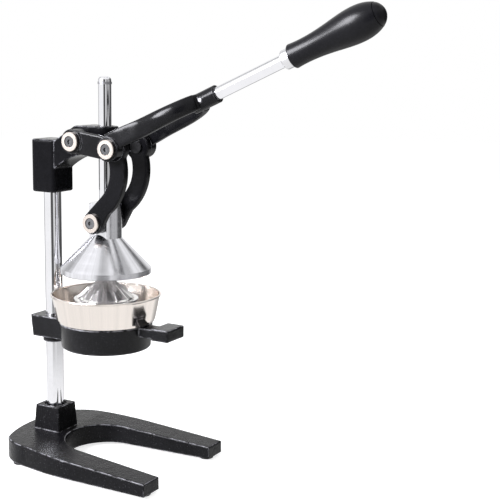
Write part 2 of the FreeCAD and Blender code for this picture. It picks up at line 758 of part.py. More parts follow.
def make_handle_grip():
    """A turned grip: a rounded mouth, a waist, a full swell and the start of a round end."""
    profile = Part.BSplineCurve()
    profile.interpolate([on_slope(s, r) for s, r in (
        (grip_start_s + 1.5, grip_mouth_radius), (grip_waist_s, grip_waist_radius), (grip_knee_s, grip_knee_radius),
        (grip_swell_s, grip_swell_radius), (grip_dome_s, grip_dome_radius), (grip_end_s, grip_end_radius))])
    mouth = on_slope(grip_start_s, grip_mouth_radius - 1.5)
    corner = arc(mouth, on_slope(grip_start_s + 0.44, grip_mouth_radius - 0.44),
                 on_slope(grip_start_s + 1.5, grip_mouth_radius))
    outline = wire(line(on_slope(grip_start_s, 0), mouth), corner, profile.toShape(),
                   line(on_slope(grip_end_s, grip_end_radius), on_slope(grip_end_s, 0)),
                   line(on_slope(grip_end_s, 0), on_slope(grip_start_s, 0)))
    grip = Part.Face(outline).revolve(on_slope(0, 0), slope_direction(), 360)
    grip = grip.cut(cylinder_on_slope(bar_radius + 0.02, grip_start_s - 1, grip_end_s + 1))
    return grip.cut(cylinder_on_slope(ferrule_radius - 1.58, grip_start_s - 1,
                                      grip_start_s + ferrule_spigot_length + 0.02))


def make_grip_end_plug():
    """A domed plug that closes the grip's bore and finishes its round end."""
    edge = grip_end_radius - plug_joint
    start = grip_end_s + 0.02
    length = plug_tip_s - start
    dome = Part.BSplineCurve()
    dome.interpolate([on_slope(start + plug_joint, edge), on_slope(start + 0.35 * length, 0.87 * edge),
                      on_slope(start + 0.72 * length, 0.58 * edge), on_slope(start + 0.93 * length, 0.28 * edge),
                      on_slope(plug_tip_s, 0)])
    outline = wire(line(on_slope(start, 0), on_slope(start, edge - plug_joint)),
                   line(on_slope(start, edge - plug_joint), on_slope(start + plug_joint, edge)),
                   dome.toShape(), line(on_slope(plug_tip_s, 0), on_slope(start, 0)))
    plug = Part.Face(outline).revolve(on_slope(0, 0), slope_direction(), 360)
    return plug.fuse(cylinder_on_slope(bar_radius, bar_end_s + 1.0, grip_end_s + 1.0))


def link_outline():
    """The link's outline: two arcs round one centre, the eye round pivot B and the foot round pivot C.

    Straight lines that touch the foot's circle join it to the arcs.
    """
    inner_radius = link_outer_arc_radius - link_width
    eye_run = pivot_b_u - link_arc_u
    eye_rise = pivot_b_z - link_arc_z
    foot_rise = pivot_c_z - link_arc_z
    eye_reach = math.hypot(eye_run, eye_rise)
    foot_reach = math.hypot(link_arc_u, foot_rise)
    eye_way = math.atan2(eye_rise, eye_run)
    foot_way = math.atan2(foot_rise, -link_arc_u)

    def round_centre(u, z, radius, angle):
        return at(link_inner_x, u + radius * math.cos(angle), z + radius * math.sin(angle))

    def on_arc(radius, angle):
        return round_centre(link_arc_u, link_arc_z, radius, angle)

    def on_foot(angle):
        return round_centre(0, pivot_c_z, link_foot_radius, angle)

    def meets_eye(radius):
        across = (radius ** 2 + eye_reach ** 2 - link_eye_radius ** 2) / (2 * radius * eye_reach)
        return eye_way - math.acos(across)
    outer_top = meets_eye(link_outer_arc_radius)
    inner_top = meets_eye(inner_radius)
    outer_low = link_stop_angle
    outer_run = link_arc_u + link_outer_arc_radius * math.cos(outer_low)
    outer_rise = link_arc_z + link_outer_arc_radius * math.sin(outer_low) - pivot_c_z
    foot_start = math.atan2(outer_rise, outer_run) - math.acos(link_foot_radius / math.hypot(outer_run, outer_rise))
    inner_low = foot_way + math.acos((inner_radius + link_foot_radius) / foot_reach)
    foot_end = inner_low - math.pi
    return wire(
        arc(on_arc(link_outer_arc_radius, outer_top), on_arc(link_outer_arc_radius, (outer_top + outer_low) / 2),
            on_arc(link_outer_arc_radius, outer_low)),
        line(on_arc(link_outer_arc_radius, outer_low), on_foot(foot_start)),
        arc(on_foot(foot_start), on_foot((foot_start + foot_end) / 2), on_foot(foot_end)),
        line(on_foot(foot_end), on_arc(inner_radius, inner_low)),
        arc(on_arc(inner_radius, inner_low), on_arc(inner_radius, (inner_low + inner_top) / 2),
            on_arc(inner_radius, inner_top)),
        arc(on_arc(inner_radius, inner_top), round_centre(pivot_b_u, pivot_b_z, link_eye_radius, eye_way),
            on_arc(link_outer_arc_radius, outer_top)),
    )


def make_curved_link():
    """A C-shaped link: a bowed plate, an eye for pivot B and a foot clamped on shaft C."""
    plate = along_x(link_outline(), link_outer_x - link_inner_x)
    corners = [e for e in plate.Edges if e.BoundBox.XLength > 1 and (
        abs(math.hypot(-e.Vertexes[0].Point.y - pivot_b_u, e.Vertexes[0].Point.z - pivot_b_z) - link_eye_radius) < 0.1
        or abs(math.atan2(e.Vertexes[0].Point.z - link_arc_z, -e.Vertexes[0].Point.y - link_arc_u)
               - link_stop_angle) < 0.001)]
    plate = plate.makeFillet(link_corner_radius, corners)
    rims = [e for e in plate.Edges if e.BoundBox.XLength < 0.01]
    plate = plate.makeFillet(link_edge_radius, rims)
    link = plate.fuse([
        cylinder_x(0, pivot_c_z, link_foot_radius - link_foot_step, hub_flat_half + side_play, link_outer_x),
        cylinder_x(pivot_b_u, pivot_b_z, link_eye_face_radius, link_inner_x, link_outer_x + link_eye_step)])
    link = link.cut(cylinder_x(0, pivot_c_z, shaft_c_radius + 0.02, 0, 60))
    return link.cut(eye_slot())


def eye_slot():
    """The link's eye, lengthened for pivot B's slip over the lever's range."""
    back, front, low, high = slip_limits()
    r = pin_b_radius + running_fit
    u0 = pivot_b_u + back
    u1 = pivot_b_u + front
    z0 = pivot_b_z + low
    z1 = pivot_b_z + high
    hull = box(0, 60, u0 - r, u1 + r, z0 - r, z1 + r)
    return hull.makeFillet(r, [e for e in hull.Edges if e.BoundBox.XLength > 10])


def make_press_rod():
    rod = cylinder_z(0, 0, rod_radius, rod_bottom_z, rod_top_z)
    rod = rod.makeFillet(rod_tip_radius, [e for e in rod.Edges if e.BoundBox.ZMin > rod_top_z - 0.1])
    groove = cylinder_z(0, 0, rod_radius + 2, rod_groove_top_z - rod_groove_height, rod_groove_top_z)
    groove = groove.cut(cylinder_z(0, 0, rod_radius - rod_groove_depth, rod_bottom_z, rod_top_z))
    rod = rod.cut(groove)
    return rod.cut(cylinder_x(0, pivot_c_z, shaft_c_radius + running_fit, -30, 30))


def make_rod_stop_ring():
    """A split retaining ring in the rod's groove, so that the rod can't drop through the guide."""
    low = rod_groove_top_z - rod_groove_height + 0.1
    high = rod_groove_top_z - 0.1
    ring = cylinder_z(0, 0, rod_radius + 0.5, low, high)
    ring = ring.cut(cylinder_z(0, 0, rod_radius - rod_groove_depth + 0.02, low - 1, high + 1))
    return ring.cut(box(-1.5, 1.5, -rod_radius - 3, 0, low - 1, high + 1))


def make_press_cone():
    """A turned and fluted cone with a two-flat hub; the hub holds the rod and turns the links' shaft."""
    flank_rate = (cone_shoulder_z - cone_rim_top_z) / (cone_rim_radius - hub_radius)
    flat_z = cone_shoulder_z + flank_rate * (hub_radius - hub_flat_half + 2.0)
    skirt = turned([(0, cone_rim_bottom_z), (cone_rim_radius - 0.8, cone_rim_bottom_z),
                    (cone_rim_radius, cone_rim_bottom_z + 0.8), (cone_rim_radius, cone_rim_top_z - 0.8),
                    (cone_rim_radius - 0.8, cone_rim_top_z), (hub_flat_half - 2.0, flat_z), (0, flat_z)])
    hub = cylinder_z(0, 0, hub_radius, cone_shoulder_z - 10.0, hub_top_z)
    hub = hub.makeChamfer(1.2, [e for e in hub.Edges if e.BoundBox.ZMin > hub_top_z - 0.1])
    hub = hub.common(box(-hub_flat_half, hub_flat_half, -hub_radius - 5, hub_radius + 5,
                         cone_shoulder_z - 20, hub_top_z + 5))
    cone = skirt.fuse(hub)
    cavity = turned([(0, cone_rim_bottom_z - 1), (cone_cavity_rim_radius, cone_rim_bottom_z - 1),
                     (cone_cavity_rim_radius, cone_rim_bottom_z + 1.5),
                     (cone_cavity_shoulder_radius, cone_cavity_shoulder_z),
                     (cone_cavity_shoulder_radius / 2, cone_cavity_apex_z - 1.5), (0, cone_cavity_apex_z)])
    cone = cone.cut(cavity)
    for i in range(cone_groove_count):
        cone = cone.cut(cavity_groove(360.0 * i / cone_groove_count))
    cone = cone.cut(cylinder_z(0, 0, rod_radius + 0.02, rod_bottom_z - 0.2, hub_top_z + 1))
    cone = cone.cut(cylinder_x(0, pivot_c_z, shaft_c_radius + 2.02, -30, 30))
    return cone.cut(hub_screw_hole())


def cavity_groove(turn_deg):
    """One of the grooves that grip the fruit, a rod-shaped cut along the cavity's wall."""
    outer = FreeCAD.Vector(cone_cavity_rim_radius - 2.0, 0, cone_rim_bottom_z + 2.0)
    inner = FreeCAD.Vector(cone_cavity_shoulder_radius, 0, cone_cavity_shoulder_z)
    groove = Part.makeCylinder(cone_groove_radius, (inner - outer).Length, outer, inner - outer)
    groove = groove.fuse([Part.makeSphere(cone_groove_radius, outer), Part.makeSphere(cone_groove_radius, inner)])
    groove.rotate(FreeCAD.Vector(0, 0, 0), FreeCAD.Vector(0, 0, 1), turn_deg)
    return groove


def hub_screw_hole():
    """The hole for the screw that locks the rod, on the hub's far side from the handle."""
    return Part.makeCylinder(rod_set_screw_radius + 0.02, hub_radius - rod_radius + 1.0,
                             at(0, -hub_radius - 1.0, rod_set_screw_z()), FreeCAD.Vector(0, -1, 0))


def rod_set_screw_z():
    """Midway between the links' shaft and the hub's top."""
    return (pivot_c_z + shaft_c_radius + 2.0 + hub_top_z) / 2


def make_rod_set_screw():
    z = rod_set_screw_z()
    length = hub_radius - 1.0 - rod_radius - 0.05
    screw = Part.makeCylinder(rod_set_screw_radius, length, at(0, -hub_radius + 1.0, z), FreeCAD.Vector(0, -1, 0))
    return screw.cut(Part.makeCylinder(rod_set_screw_radius / 2, 2.5, at(0, -hub_radius + 1.0, z),
                                       FreeCAD.Vector(0, -1, 0)))


def make_pivot_c_bushes():
    bush = cylinder_x(0, pivot_c_z, shaft_c_radius + 2.0, rod_radius + 1.0, hub_flat_half)
    return both_sides(bush.cut(cylinder_x(0, pivot_c_z, shaft_c_radius + running_fit, 0, 30)))


def make_cup_ring():
    """The ring that carries the bowl, its collar on the post, and the tab at its front."""
    ring = turned([(ring_inner_radius, ring_bottom_z), (ring_foot_radius - 1.2, ring_bottom_z),
                   (ring_foot_radius, ring_bottom_z + 1.2), (ring_outer_radius, ring_top_z - 1.0),
                   (ring_outer_radius - 1.0, ring_top_z), (ring_inner_radius, ring_top_z)])
    w = collar_half_width
    side = polygon([at(-w, collar_back_u, collar_top_z), at(-w, collar_back_u + 2.8, collar_bottom_z),
                    at(-w, -40.0, collar_bottom_z), at(-w, -40.0, collar_top_z)])
    collar = along_x(side, 2 * w)
    collar = collar.makeFillet(3.0, [e for e in collar.Edges if e.BoundBox.XLength < 0.1
                                     and e.BoundBox.YMax > -collar_back_u - 3 and e.BoundBox.ZLength > 10])
    boss = cylinder_z(0, post_u, collar_boss_radius, collar_boss_bottom_z, collar_bottom_z + 2)
    neck = box(-tab_neck_half_width, tab_neck_half_width, ring_inner_radius + 2, tab_start_u + 2,
               tab_bottom_z, tab_top_z - 3.5)
    tab = box(-tab_half_width, tab_half_width, tab_start_u, tab_end_u, tab_bottom_z, tab_top_z)
    tab = tab.makeFillet(2.4, [e for e in tab.Edges if e.BoundBox.ZLength > 5])
    tab = tab.makeFillet(1.4, [e for e in tab.Edges if e.BoundBox.ZLength < 0.1])
    bore = cylinder_z(0, 0, ring_inner_radius, ring_bottom_z - 9, tab_top_z + 5)
    holder = ring.fuse([collar, boss, neck, tab]).cut(bore)
    holder = holder.cut(cylinder_z(0, post_u, post_radius + post_fit, collar_boss_bottom_z - 1, collar_top_z + 1))
    z = (collar_top_z + collar_bottom_z) / 2
    holder = holder.cut(set_screw_hole(z, collar_back_u))
    return holder.removeSplitter()


def make_ring_clamp_screw():
    """A knurled-head thumb screw through the back of the collar."""
    z = (collar_top_z + collar_bottom_z) / 2
    screw = make_set_screw(z, collar_back_u, 3.0)
    head = Part.makeCylinder(8.0, 7.0, at(0, collar_back_u - 9.0, z), FreeCAD.Vector(0, -1, 0))
    head = head.makeFillet(1.0, [e for e in head.Edges if len(e.Vertexes) == 1])
    return head.fuse(screw)


def make_juice_bowl():
    """A thin bowl with a rolled lip, a flat seat on the ring and a funnel down to the spout."""
    seat_z = bowl_seat_z
    t = bowl_wall
    c = bowl_corner_radius
    k = c * (1 - math.sqrt(0.5))
    lean = (bowl_rim_radius - 1.2 - bowl_foot_radius) / (bowl_rim_z - seat_z - c)
    outer = [(bowl_foot_radius - c, seat_z), (bowl_foot_radius - k, seat_z + k),
             (bowl_foot_radius, seat_z + c),
             (bowl_foot_radius + lean * (bowl_rim_z - 1.5 - seat_z - c), bowl_rim_z - 1.5)]
    inner = [(r - t, z + (t if i == 0 else 0.3 if i == 1 else 0)) for i, (r, z) in enumerate(outer)]
    funnel_outer = [(funnel_mouth_radius, seat_z), (spout_radius, funnel_end_z), (spout_radius, spout_end_z)]
    funnel_inner = [(spout_radius - t, spout_end_z), (spout_radius - t, funnel_end_z + 0.4),
                    (funnel_mouth_radius - t, seat_z + t)]
    profile = [(bowl_foot_radius - c, seat_z)] + outer[1:] + inner[:0:-1] + \
        [(bowl_foot_radius - c - 0.3, seat_z + t)] + funnel_inner[::-1] + funnel_outer[::-1]
    bowl = turned(profile)
    lip = Part.makeTorus(bowl_rim_radius - bowl_lip_radius, bowl_lip_radius,
                         FreeCAD.Vector(0, 0, bowl_rim_z - bowl_lip_radius))
    return bowl.fuse(lip)


def bowl_inner_radius(z):
    """The bowl wall's inner radius at height z, above its corner."""
    seat_z = bowl_seat_z
    start = seat_z + bowl_corner_radius
    lean = (bowl_rim_radius - 1.2 - bowl_foot_radius) / (bowl_rim_z - start)
    return bowl_foot_radius + lean * (z - start) - bowl_wall


def make_strainer():
    """A pressed strainer: a drained floor, a raised step and a ribbed reamer dome, standing on three feet."""
    t = strainer_wall
    rim = bowl_inner_radius(strainer_floor_z) - strainer_gap
    lip_z = strainer_floor_z + strainer_lip_height
    step = strainer_step_radius
    outer = [(rim, strainer_floor_z), (rim + 0.4, lip_z)]
    upper = [(rim + 0.4 - t, lip_z), (rim - t, strainer_floor_z + t), (step + t, strainer_floor_z + t),
             (step, strainer_step_z - 2.0), (step - 1.2, strainer_step_z), (reamer_radius, strainer_step_z),
             (reamer_radius - 1.5, strainer_step_z + 2.0), (reamer_radius * 0.62, strainer_step_z + 0.49 * reamer_height),
             (reamer_radius * 0.32, reamer_top_z - 4.5), (reamer_radius * 0.12, reamer_top_z - 0.8),
             (0, reamer_top_z)]
    lower = [(0, reamer_top_z - 3 * t), (reamer_radius * 0.3 - t, reamer_top_z - 5.5 - t),
             (reamer_radius * 0.62 - t, strainer_step_z + 0.49 * reamer_height - 1.2 * t), (reamer_radius - 1.5 - t, strainer_step_z),
             (reamer_radius - t, strainer_step_z - t), (step - 1.6 - t, strainer_step_z - t),
             (step - t - 0.4, strainer_step_z - 3.0), (step, strainer_floor_z)]
    body = turned(outer + upper + lower)
    ribs = []
    for i in range(reamer_rib_count):
        start = FreeCAD.Vector(reamer_radius - 0.6, 0, strainer_step_z + 0.6)
        bend = FreeCAD.Vector(reamer_radius * 0.62, 0, strainer_step_z + 0.49 * reamer_height)
        end = FreeCAD.Vector(reamer_radius * 0.3, 0, reamer_top_z - 4.2)
        for a, b in ((start, bend), (bend, end)):
            rib = Part.makeCylinder(reamer_rib_radius, (b - a).Length, a, b - a)
            rib.rotate(FreeCAD.Vector(0, 0, 0), FreeCAD.Vector(0, 0, 1), 360.0 * i / reamer_rib_count)
            ribs.append(rib)
        knuckle = Part.makeSphere(reamer_rib_radius, bend)
        knuckle.rotate(FreeCAD.Vector(0, 0, 0), FreeCAD.Vector(0, 0, 1), 360.0 * i / reamer_rib_count)
        ribs.append(knuckle)
    body = body.fuse(ribs)
    holes = []
    for ring in range(strainer_hole_rings):
        radius = step + 4.5 + ring * 4.4
        for i in range(strainer_holes_per_ring):
            turn = 2 * math.pi * (i + 0.5 * (ring % 2)) / strainer_holes_per_ring
            holes.append(cylinder_z(radius * math.cos(turn), radius * math.sin(turn), strainer_hole_radius,
                                    strainer_floor_z - 1, strainer_floor_z + 3))
    body = body.cut(Part.makeCompound(holes))
    feet = []
    for i in range(3):
        turn = math.radians(30 + 120 * i)
        x = strainer_foot_circle * math.cos(turn)
        u = strainer_foot_circle * math.sin(turn)
        feet.append(cylinder_z(x, u, strainer_foot_radius, bowl_seat_z + bowl_wall + 0.1, strainer_floor_z + 0.5))
    return body.fuse(feet)


def save(name, shape):
    """Move one node back by the press rod's setback, write it and say what it holds."""
    shape = shape.translated(FreeCAD.Vector(0, rod_setback, 0))
    shape.exportStep("parts/" + name + ".step")
    sizes = shape.BoundBox
    print("%-22s solids %2d valid %s volume %10.1f  x %.1f %.1f y %.1f %.1f z %.1f %.1f" % (
        name, len(shape.Solids), shape.isValid(), shape.Volume,
        sizes.XMin, sizes.XMax, sizes.YMin, sizes.YMax, sizes.ZMin, sizes.ZMax))


def main():
    save("base_casting", make_base_casting())
    save("rubber_feet", make_rubber_feet())
    save("foot_screws", make_foot_screws())
    save("post", make_post())
    save("base_bolt", make_base_bolt())
    save("base_washer", make_base_washer())
    save("top_bracket", make_top_bracket())
    save("bracket_set_screws", make_bracket_set_screws())
    save("guide_bushes", make_guide_bushes())
    save("pivot_a_bushes", make_pivot_a_bushes())
    save("lever_fork", make_lever_fork())
    save("pivot_shaft_a", make_pivot_shaft_a())
    save("pivot_b_pins", make_pivot_b_pins())
    for name, u, z, face_x in (("a", pivot_a_u, pivot_a_z, outer_cap_face_x),
                               ("b", pivot_b_u, pivot_b_z, outer_cap_face_x),
                               ("c", 0.0, pivot_c_z, lower_cap_face_x)):
        save("pivot_%s_caps" % name, both_sides(cap(u, z, face_x)))
        save("pivot_%s_cap_screws" % name, both_sides(cap_screw(u, z, face_x)))
    save("handle_bar", make_handle_bar())
    save("handle_pin", make_handle_pin())
    save("grip_ferrule", make_grip_ferrule())
    save("handle_grip", make_handle_grip())
    save("grip_end_plug", make_grip_end_plug())
    link = make_curved_link()
    save("curved_link_right", link)
    save("curved_link_left", mirrored(link))
    save("pivot_shaft_c", make_pivot_shaft_c())
    save("press_rod", make_press_rod())
    save("rod_stop_ring", make_rod_stop_ring())
    save("press_cone", make_press_cone())
    save("rod_set_screw", make_rod_set_screw())
    save("pivot_c_bushes", make_pivot_c_bushes())
    save("cup_ring", make_cup_ring())
    save("ring_clamp_screw", make_ring_clamp_screw())
    save("juice_bowl", make_juice_bowl())
    save("strainer", make_strainer())
    print("slip of pivot B in the links' eyes (mm): %.2f %.2f %.2f %.2f" % slip_limits())


main()
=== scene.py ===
"""Looks and studio for a hand lever citrus press.

The press's solids come in as a fixed frame. This script gives each of them its finish, lays crowned
outer faces over the lever's two prongs, and sets up a floor, lamps and a camera.
All lengths are in metres. +Z is up and the handle points along -Y.
"""

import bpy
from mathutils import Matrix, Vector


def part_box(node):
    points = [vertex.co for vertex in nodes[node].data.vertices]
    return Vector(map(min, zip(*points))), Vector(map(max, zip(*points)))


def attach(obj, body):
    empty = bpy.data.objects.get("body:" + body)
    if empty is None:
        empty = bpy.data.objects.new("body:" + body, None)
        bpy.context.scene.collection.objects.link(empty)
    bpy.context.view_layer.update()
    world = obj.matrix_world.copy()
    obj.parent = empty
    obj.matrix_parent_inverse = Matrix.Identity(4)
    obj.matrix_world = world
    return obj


bl_info = {
    "name": "Lever Citrus Press",
    "version": (1, 0, 0),
    "blender": (4, 5, 0),
    "location": "View3D > Sidebar > Citrus Press",
    "description": "Dresses the solids of a hand lever citrus press and sets up its studio",
    "category": "Object",
}

import math

import bpy
import numpy as np
from mathutils import Matrix

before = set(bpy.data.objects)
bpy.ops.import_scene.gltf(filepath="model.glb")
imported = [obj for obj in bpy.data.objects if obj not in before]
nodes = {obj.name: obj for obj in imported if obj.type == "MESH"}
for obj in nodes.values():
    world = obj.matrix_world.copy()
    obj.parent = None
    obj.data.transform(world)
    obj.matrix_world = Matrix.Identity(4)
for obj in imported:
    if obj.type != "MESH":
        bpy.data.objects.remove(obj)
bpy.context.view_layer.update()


def node_centre(name):
    """The middle of a solid's box."""
    low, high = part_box(name)
    return (low + high) / 2


ROD_Y = node_centre("press_rod").y
# The foot of the press rod's axis, which the cone, the bowl and the strainer share
ROD_AXIS = (0.0, ROD_Y, 0.0)
# A turn that lays a piece's round axis across the press
SIDEWAYS = (0.0, math.radians(90.0), 0.0)


class PressSizes(bpy.types.PropertyGroup):
    """Sizes of the prongs' crowned faces, of the floor and of the camera's lens."""

    prong_web_x: bpy.props.FloatProperty(
        name="Prong start half width", description="Outer half width of the lever's fork at pivot B",
        default=0.0383, unit="LENGTH", precision=5)
    prong_run_x: bpy.props.FloatProperty(
        name="Prong run half width", description="Outer half width of the lever's fork along its run",
        default=0.0325, unit="LENGTH", precision=5)
    prong_thickness: bpy.props.FloatProperty(
        name="Prong thickness", description="Thickness of a prong across the press",
        default=0.008, unit="LENGTH", precision=5)
    prong_crown: bpy.props.FloatProperty(
        name="Prong crown", description="How far a prong's outer face is rounded out",
        default=0.0040, unit="LENGTH", precision=5)
    skin_clearance: bpy.props.FloatProperty(
        name="Skin clearance", description="How far a crowned surface stands off the solid under it",
        default=0.0003, unit="LENGTH", precision=5)
    camera_lens: bpy.props.FloatProperty(
        name="Camera lens", description="Focal length on a 36 mm sensor, in millimetres", default=78.87)
    floor_radius: bpy.props.FloatProperty(
        name="Floor radius", description="Radius of the pale floor", default=6.0, unit="LENGTH")


class PressFinishes(bpy.types.PropertyGroup):
    """Colours of the finishes, and how deep the enamel's grain is."""

    enamel_colour: bpy.props.FloatVectorProperty(
        name="Enamel colour", description="Colour of the black enamel on the castings",
        subtype="COLOR", size=3, min=0.0, max=1.0, default=(0.0035, 0.0035, 0.0042))
    # Painted highlight colour: the pale colour laid on the enamel's edges, level fillets and flecks in place
    # of highlights of light
    painted_highlight_colour: bpy.props.FloatVectorProperty(
        name="Painted highlight colour", description="Colour of the painted highlights on the enamel's edges, fillets and glints",
        subtype="COLOR", size=3, min=0.0, max=1.0, default=(0.26, 0.26, 0.28))
    enamel_grain: bpy.props.FloatProperty(
        name="Enamel grain", description="Depth of the casting grain under the enamel",
        default=0.0004, unit="LENGTH", precision=5)
    chrome_colour: bpy.props.FloatVectorProperty(
        name="Chrome colour", description="Colour of the chromed post, rod and bar",
        subtype="COLOR", size=3, min=0.0, max=1.0, default=(0.90, 0.90, 0.93))
    zinc_colour: bpy.props.FloatVectorProperty(
        name="Zinc colour", description="Colour of the zinc plated bolts, screws and shafts",
        subtype="COLOR", size=3, min=0.0, max=1.0, default=(0.42, 0.42, 0.44))
    blacked_colour: bpy.props.FloatVectorProperty(
        name="Blacked steel colour", description="Colour of the pins at pivot B",
        subtype="COLOR", size=3, min=0.0, max=1.0, default=(0.05, 0.05, 0.052))
    brass_colour: bpy.props.FloatVectorProperty(
        name="Brass colour", description="Colour of the bushes",
        subtype="COLOR", size=3, min=0.0, max=1.0, default=(0.72, 0.55, 0.28))
    ferrule_colour: bpy.props.FloatVectorProperty(
        name="Ferrule colour", description="Colour of the satin ring at the grip's mouth",
        subtype="COLOR", size=3, min=0.0, max=1.0, default=(0.80, 0.80, 0.82))
    aluminium_colour: bpy.props.FloatVectorProperty(
        name="Aluminium colour", description="Colour of the turned press cone",
        subtype="COLOR", size=3, min=0.0, max=1.0, default=(0.84, 0.84, 0.88))
    stainless_colour: bpy.props.FloatVectorProperty(
        name="Stainless colour", description="Colour of the spun bowl",
        subtype="COLOR", size=3, min=0.0, max=1.0, default=(0.885, 0.82, 0.77))
    strainer_colour: bpy.props.FloatVectorProperty(
        name="Strainer colour", description="Colour of the pressed strainer and its reamer",
        subtype="COLOR", size=3, min=0.0, max=1.0, default=(0.86, 0.845, 0.83))
    nickel_colour: bpy.props.FloatVectorProperty(
        name="Nickel colour", description="Colour of the pivot cap rings",
        subtype="COLOR", size=3, min=0.0, max=1.0, default=(0.74, 0.67, 0.62))
    screw_colour: bpy.props.FloatVectorProperty(
        name="Screw colour", description="Colour of the socket screws in the caps",
        subtype="COLOR", size=3, min=0.0, max=1.0, default=(0.13, 0.13, 0.135))
    grip_colour: bpy.props.FloatVectorProperty(
        name="Grip colour", description="Colour of the black plastic grip",
        subtype="COLOR", size=3, min=0.0, max=1.0, default=(0.004, 0.004, 0.0052))
    rubber_colour: bpy.props.FloatVectorProperty(
        name="Rubber colour", description="Colour of the rubber feet",
        subtype="COLOR", size=3, min=0.0, max=1.0, default=(0.012, 0.012, 0.012))


# Node groups that more than one finish uses


def new_group(name, inputs, outputs):
    """An empty shader node group with named float or vector sockets."""
    group = bpy.data.node_groups.new(name, "ShaderNodeTree")
    for label, kind, value in inputs:
        socket = group.interface.new_socket(name=label, in_out="INPUT", socket_type=kind)
        if value is not None:
            socket.default_value = value
    for label, kind in outputs:
        group.interface.new_socket(name=label, in_out="OUTPUT", socket_type=kind)
    return group, group.nodes.new("NodeGroupInput"), group.nodes.new("NodeGroupOutput")


def feed(tree, socket, value):
    """Sets a socket to a number, or links another socket to it."""
    if isinstance(value, (int, float)):
        socket.default_value = value
    else:
        tree.links.new(value, socket)


def add_noise(tree, vector, scale, detail, roughness=0.5):
    """A noise texture on the given coordinates."""
    noise = tree.nodes.new("ShaderNodeTexNoise")
    noise.inputs["Detail"].default_value = detail
    noise.inputs["Roughness"].default_value = roughness
    tree.links.new(vector, noise.inputs["Vector"])
    feed(tree, noise.inputs["Scale"], scale)
    return noise.outputs["Fac"]


def add_math(tree, operation, first, second=None):
    """A math node; each operand is a number or a socket."""
    node = tree.nodes.new("ShaderNodeMath")
    node.operation = operation
    feed(tree, node.inputs[0], first)
    if second is not None:
        feed(tree, node.inputs[1], second)
    return node.outputs[0]


def add_range(tree, value, span, result=(0.0, 1.0)):
    """A linear remap of a value from one pair of ends to another, held inside the new ends."""
    node = tree.nodes.new("ShaderNodeMapRange")
    tree.links.new(value, node.inputs["Value"])
    for label, end in zip(("From Min", "From Max", "To Min", "To Max"), (*span, *result)):
        feed(tree, node.inputs[label], end)
    return node.outputs["Result"]


def add_blend(tree, first, second, first_share):
    """Two values added, the first with its share and the second with the rest."""
    return add_math(tree, "ADD", add_math(tree, "MULTIPLY", first, first_share),
                    add_math(tree, "MULTIPLY", second, 1.0 - first_share))


def add_dot(tree, first, second):
    """The dot product of a vector socket and either another socket or fixed numbers."""
    dot = tree.nodes.new("ShaderNodeVectorMath")
    dot.operation = "DOT_PRODUCT"
    tree.links.new(first, dot.inputs[0])
    if isinstance(second, bpy.types.NodeSocket):
        tree.links.new(second, dot.inputs[1])
    else:
        dot.inputs[1].default_value = tuple(float(part) for part in second)
    return dot.outputs["Value"]


def add_colour_mix(tree, share, clean, marked):
    """A colour that goes from one tone to another with a share; each tone is a colour or a socket."""
    mix = tree.nodes.new("ShaderNodeMix")
    mix.data_type = "RGBA"
    share_in, clean_in, marked_in = mix.inputs[0], mix.inputs[6], mix.inputs[7]
    tree.links.new(share, share_in)
    for socket, tone in ((clean_in, clean), (marked_in, marked)):
        if isinstance(tone, bpy.types.NodeSocket):
            tree.links.new(tone, socket)
        else:
            socket.default_value = (*tone, 1.0)
    return mix.outputs[2]


def make_cast_grain_and_glints_group():
    """Casting grain: coarse pits and fine sand grain, patches of thinner gloss, and a mask of pale painted
    glints.
    """
    pits_to_grain, glints_to_grain, grain_share = 0.22, 1.6, 0.55
    patches_per_metre, patch_levels, glint_levels = 60.0, (0.35, 0.72), (0.66, 0.76)
    group, start, end = new_group(
        "cast_grain_and_painted_glints",
        [("Vector", "NodeSocketVector", None), ("Scale", "NodeSocketFloat", 500.0),
         ("Gloss", "NodeSocketFloat", 0.2), ("Dull", "NodeSocketFloat", 0.4)],
        [("Height", "NodeSocketFloat"), ("Roughness", "NodeSocketFloat"), ("Painted glint", "NodeSocketFloat")])
    vector, scale = start.outputs["Vector"], start.outputs["Scale"]
    grain = add_noise(group, vector, scale, detail=3.0, roughness=0.6)
    pits = add_noise(group, vector, add_math(group, "MULTIPLY", scale, pits_to_grain), detail=2.0)
    group.links.new(add_blend(group, grain, pits, grain_share), end.inputs["Height"])
    # Painted glints: pale flecks where fine noise is high, standing in for glints of light on the grain
    painted_glints = add_noise(group, vector, add_math(group, "MULTIPLY", scale, glints_to_grain), detail=1.0)
    group.links.new(add_range(group, painted_glints, glint_levels), end.inputs["Painted glint"])
    patches = add_noise(group, vector, patches_per_metre, detail=4.0)
    gloss = add_range(group, patches, patch_levels, (start.outputs["Gloss"], start.outputs["Dull"]))
    group.links.new(gloss, end.inputs["Roughness"])
    return group


def make_haze_group():
    """Handling haze: broad faint patches and small smears that change the gloss."""
    patches_per_metre, smears_per_metre, patch_share, haze_levels = 25.0, 160.0, 0.6, (0.42, 0.66)
    group, start, end = new_group(
        "handling_haze",
        [("Vector", "NodeSocketVector", None), ("Clean", "NodeSocketFloat", 0.05),
         ("Hazy", "NodeSocketFloat", 0.12)],
        [("Roughness", "NodeSocketFloat"), ("Mask", "NodeSocketFloat")])
    vector = start.outputs["Vector"]
    patches = add_noise(group, vector, patches_per_metre, detail=3.0)
    smears = add_noise(group, vector, smears_per_metre, detail=5.0, roughness=0.65)
    mask = add_range(group, add_blend(group, patches, smears, patch_share), haze_levels)
    group.links.new(mask, end.inputs["Mask"])
    gloss = add_range(group, mask, (0.0, 1.0), (start.outputs["Clean"], start.outputs["Hazy"]))
    group.links.new(gloss, end.inputs["Roughness"])
    return group


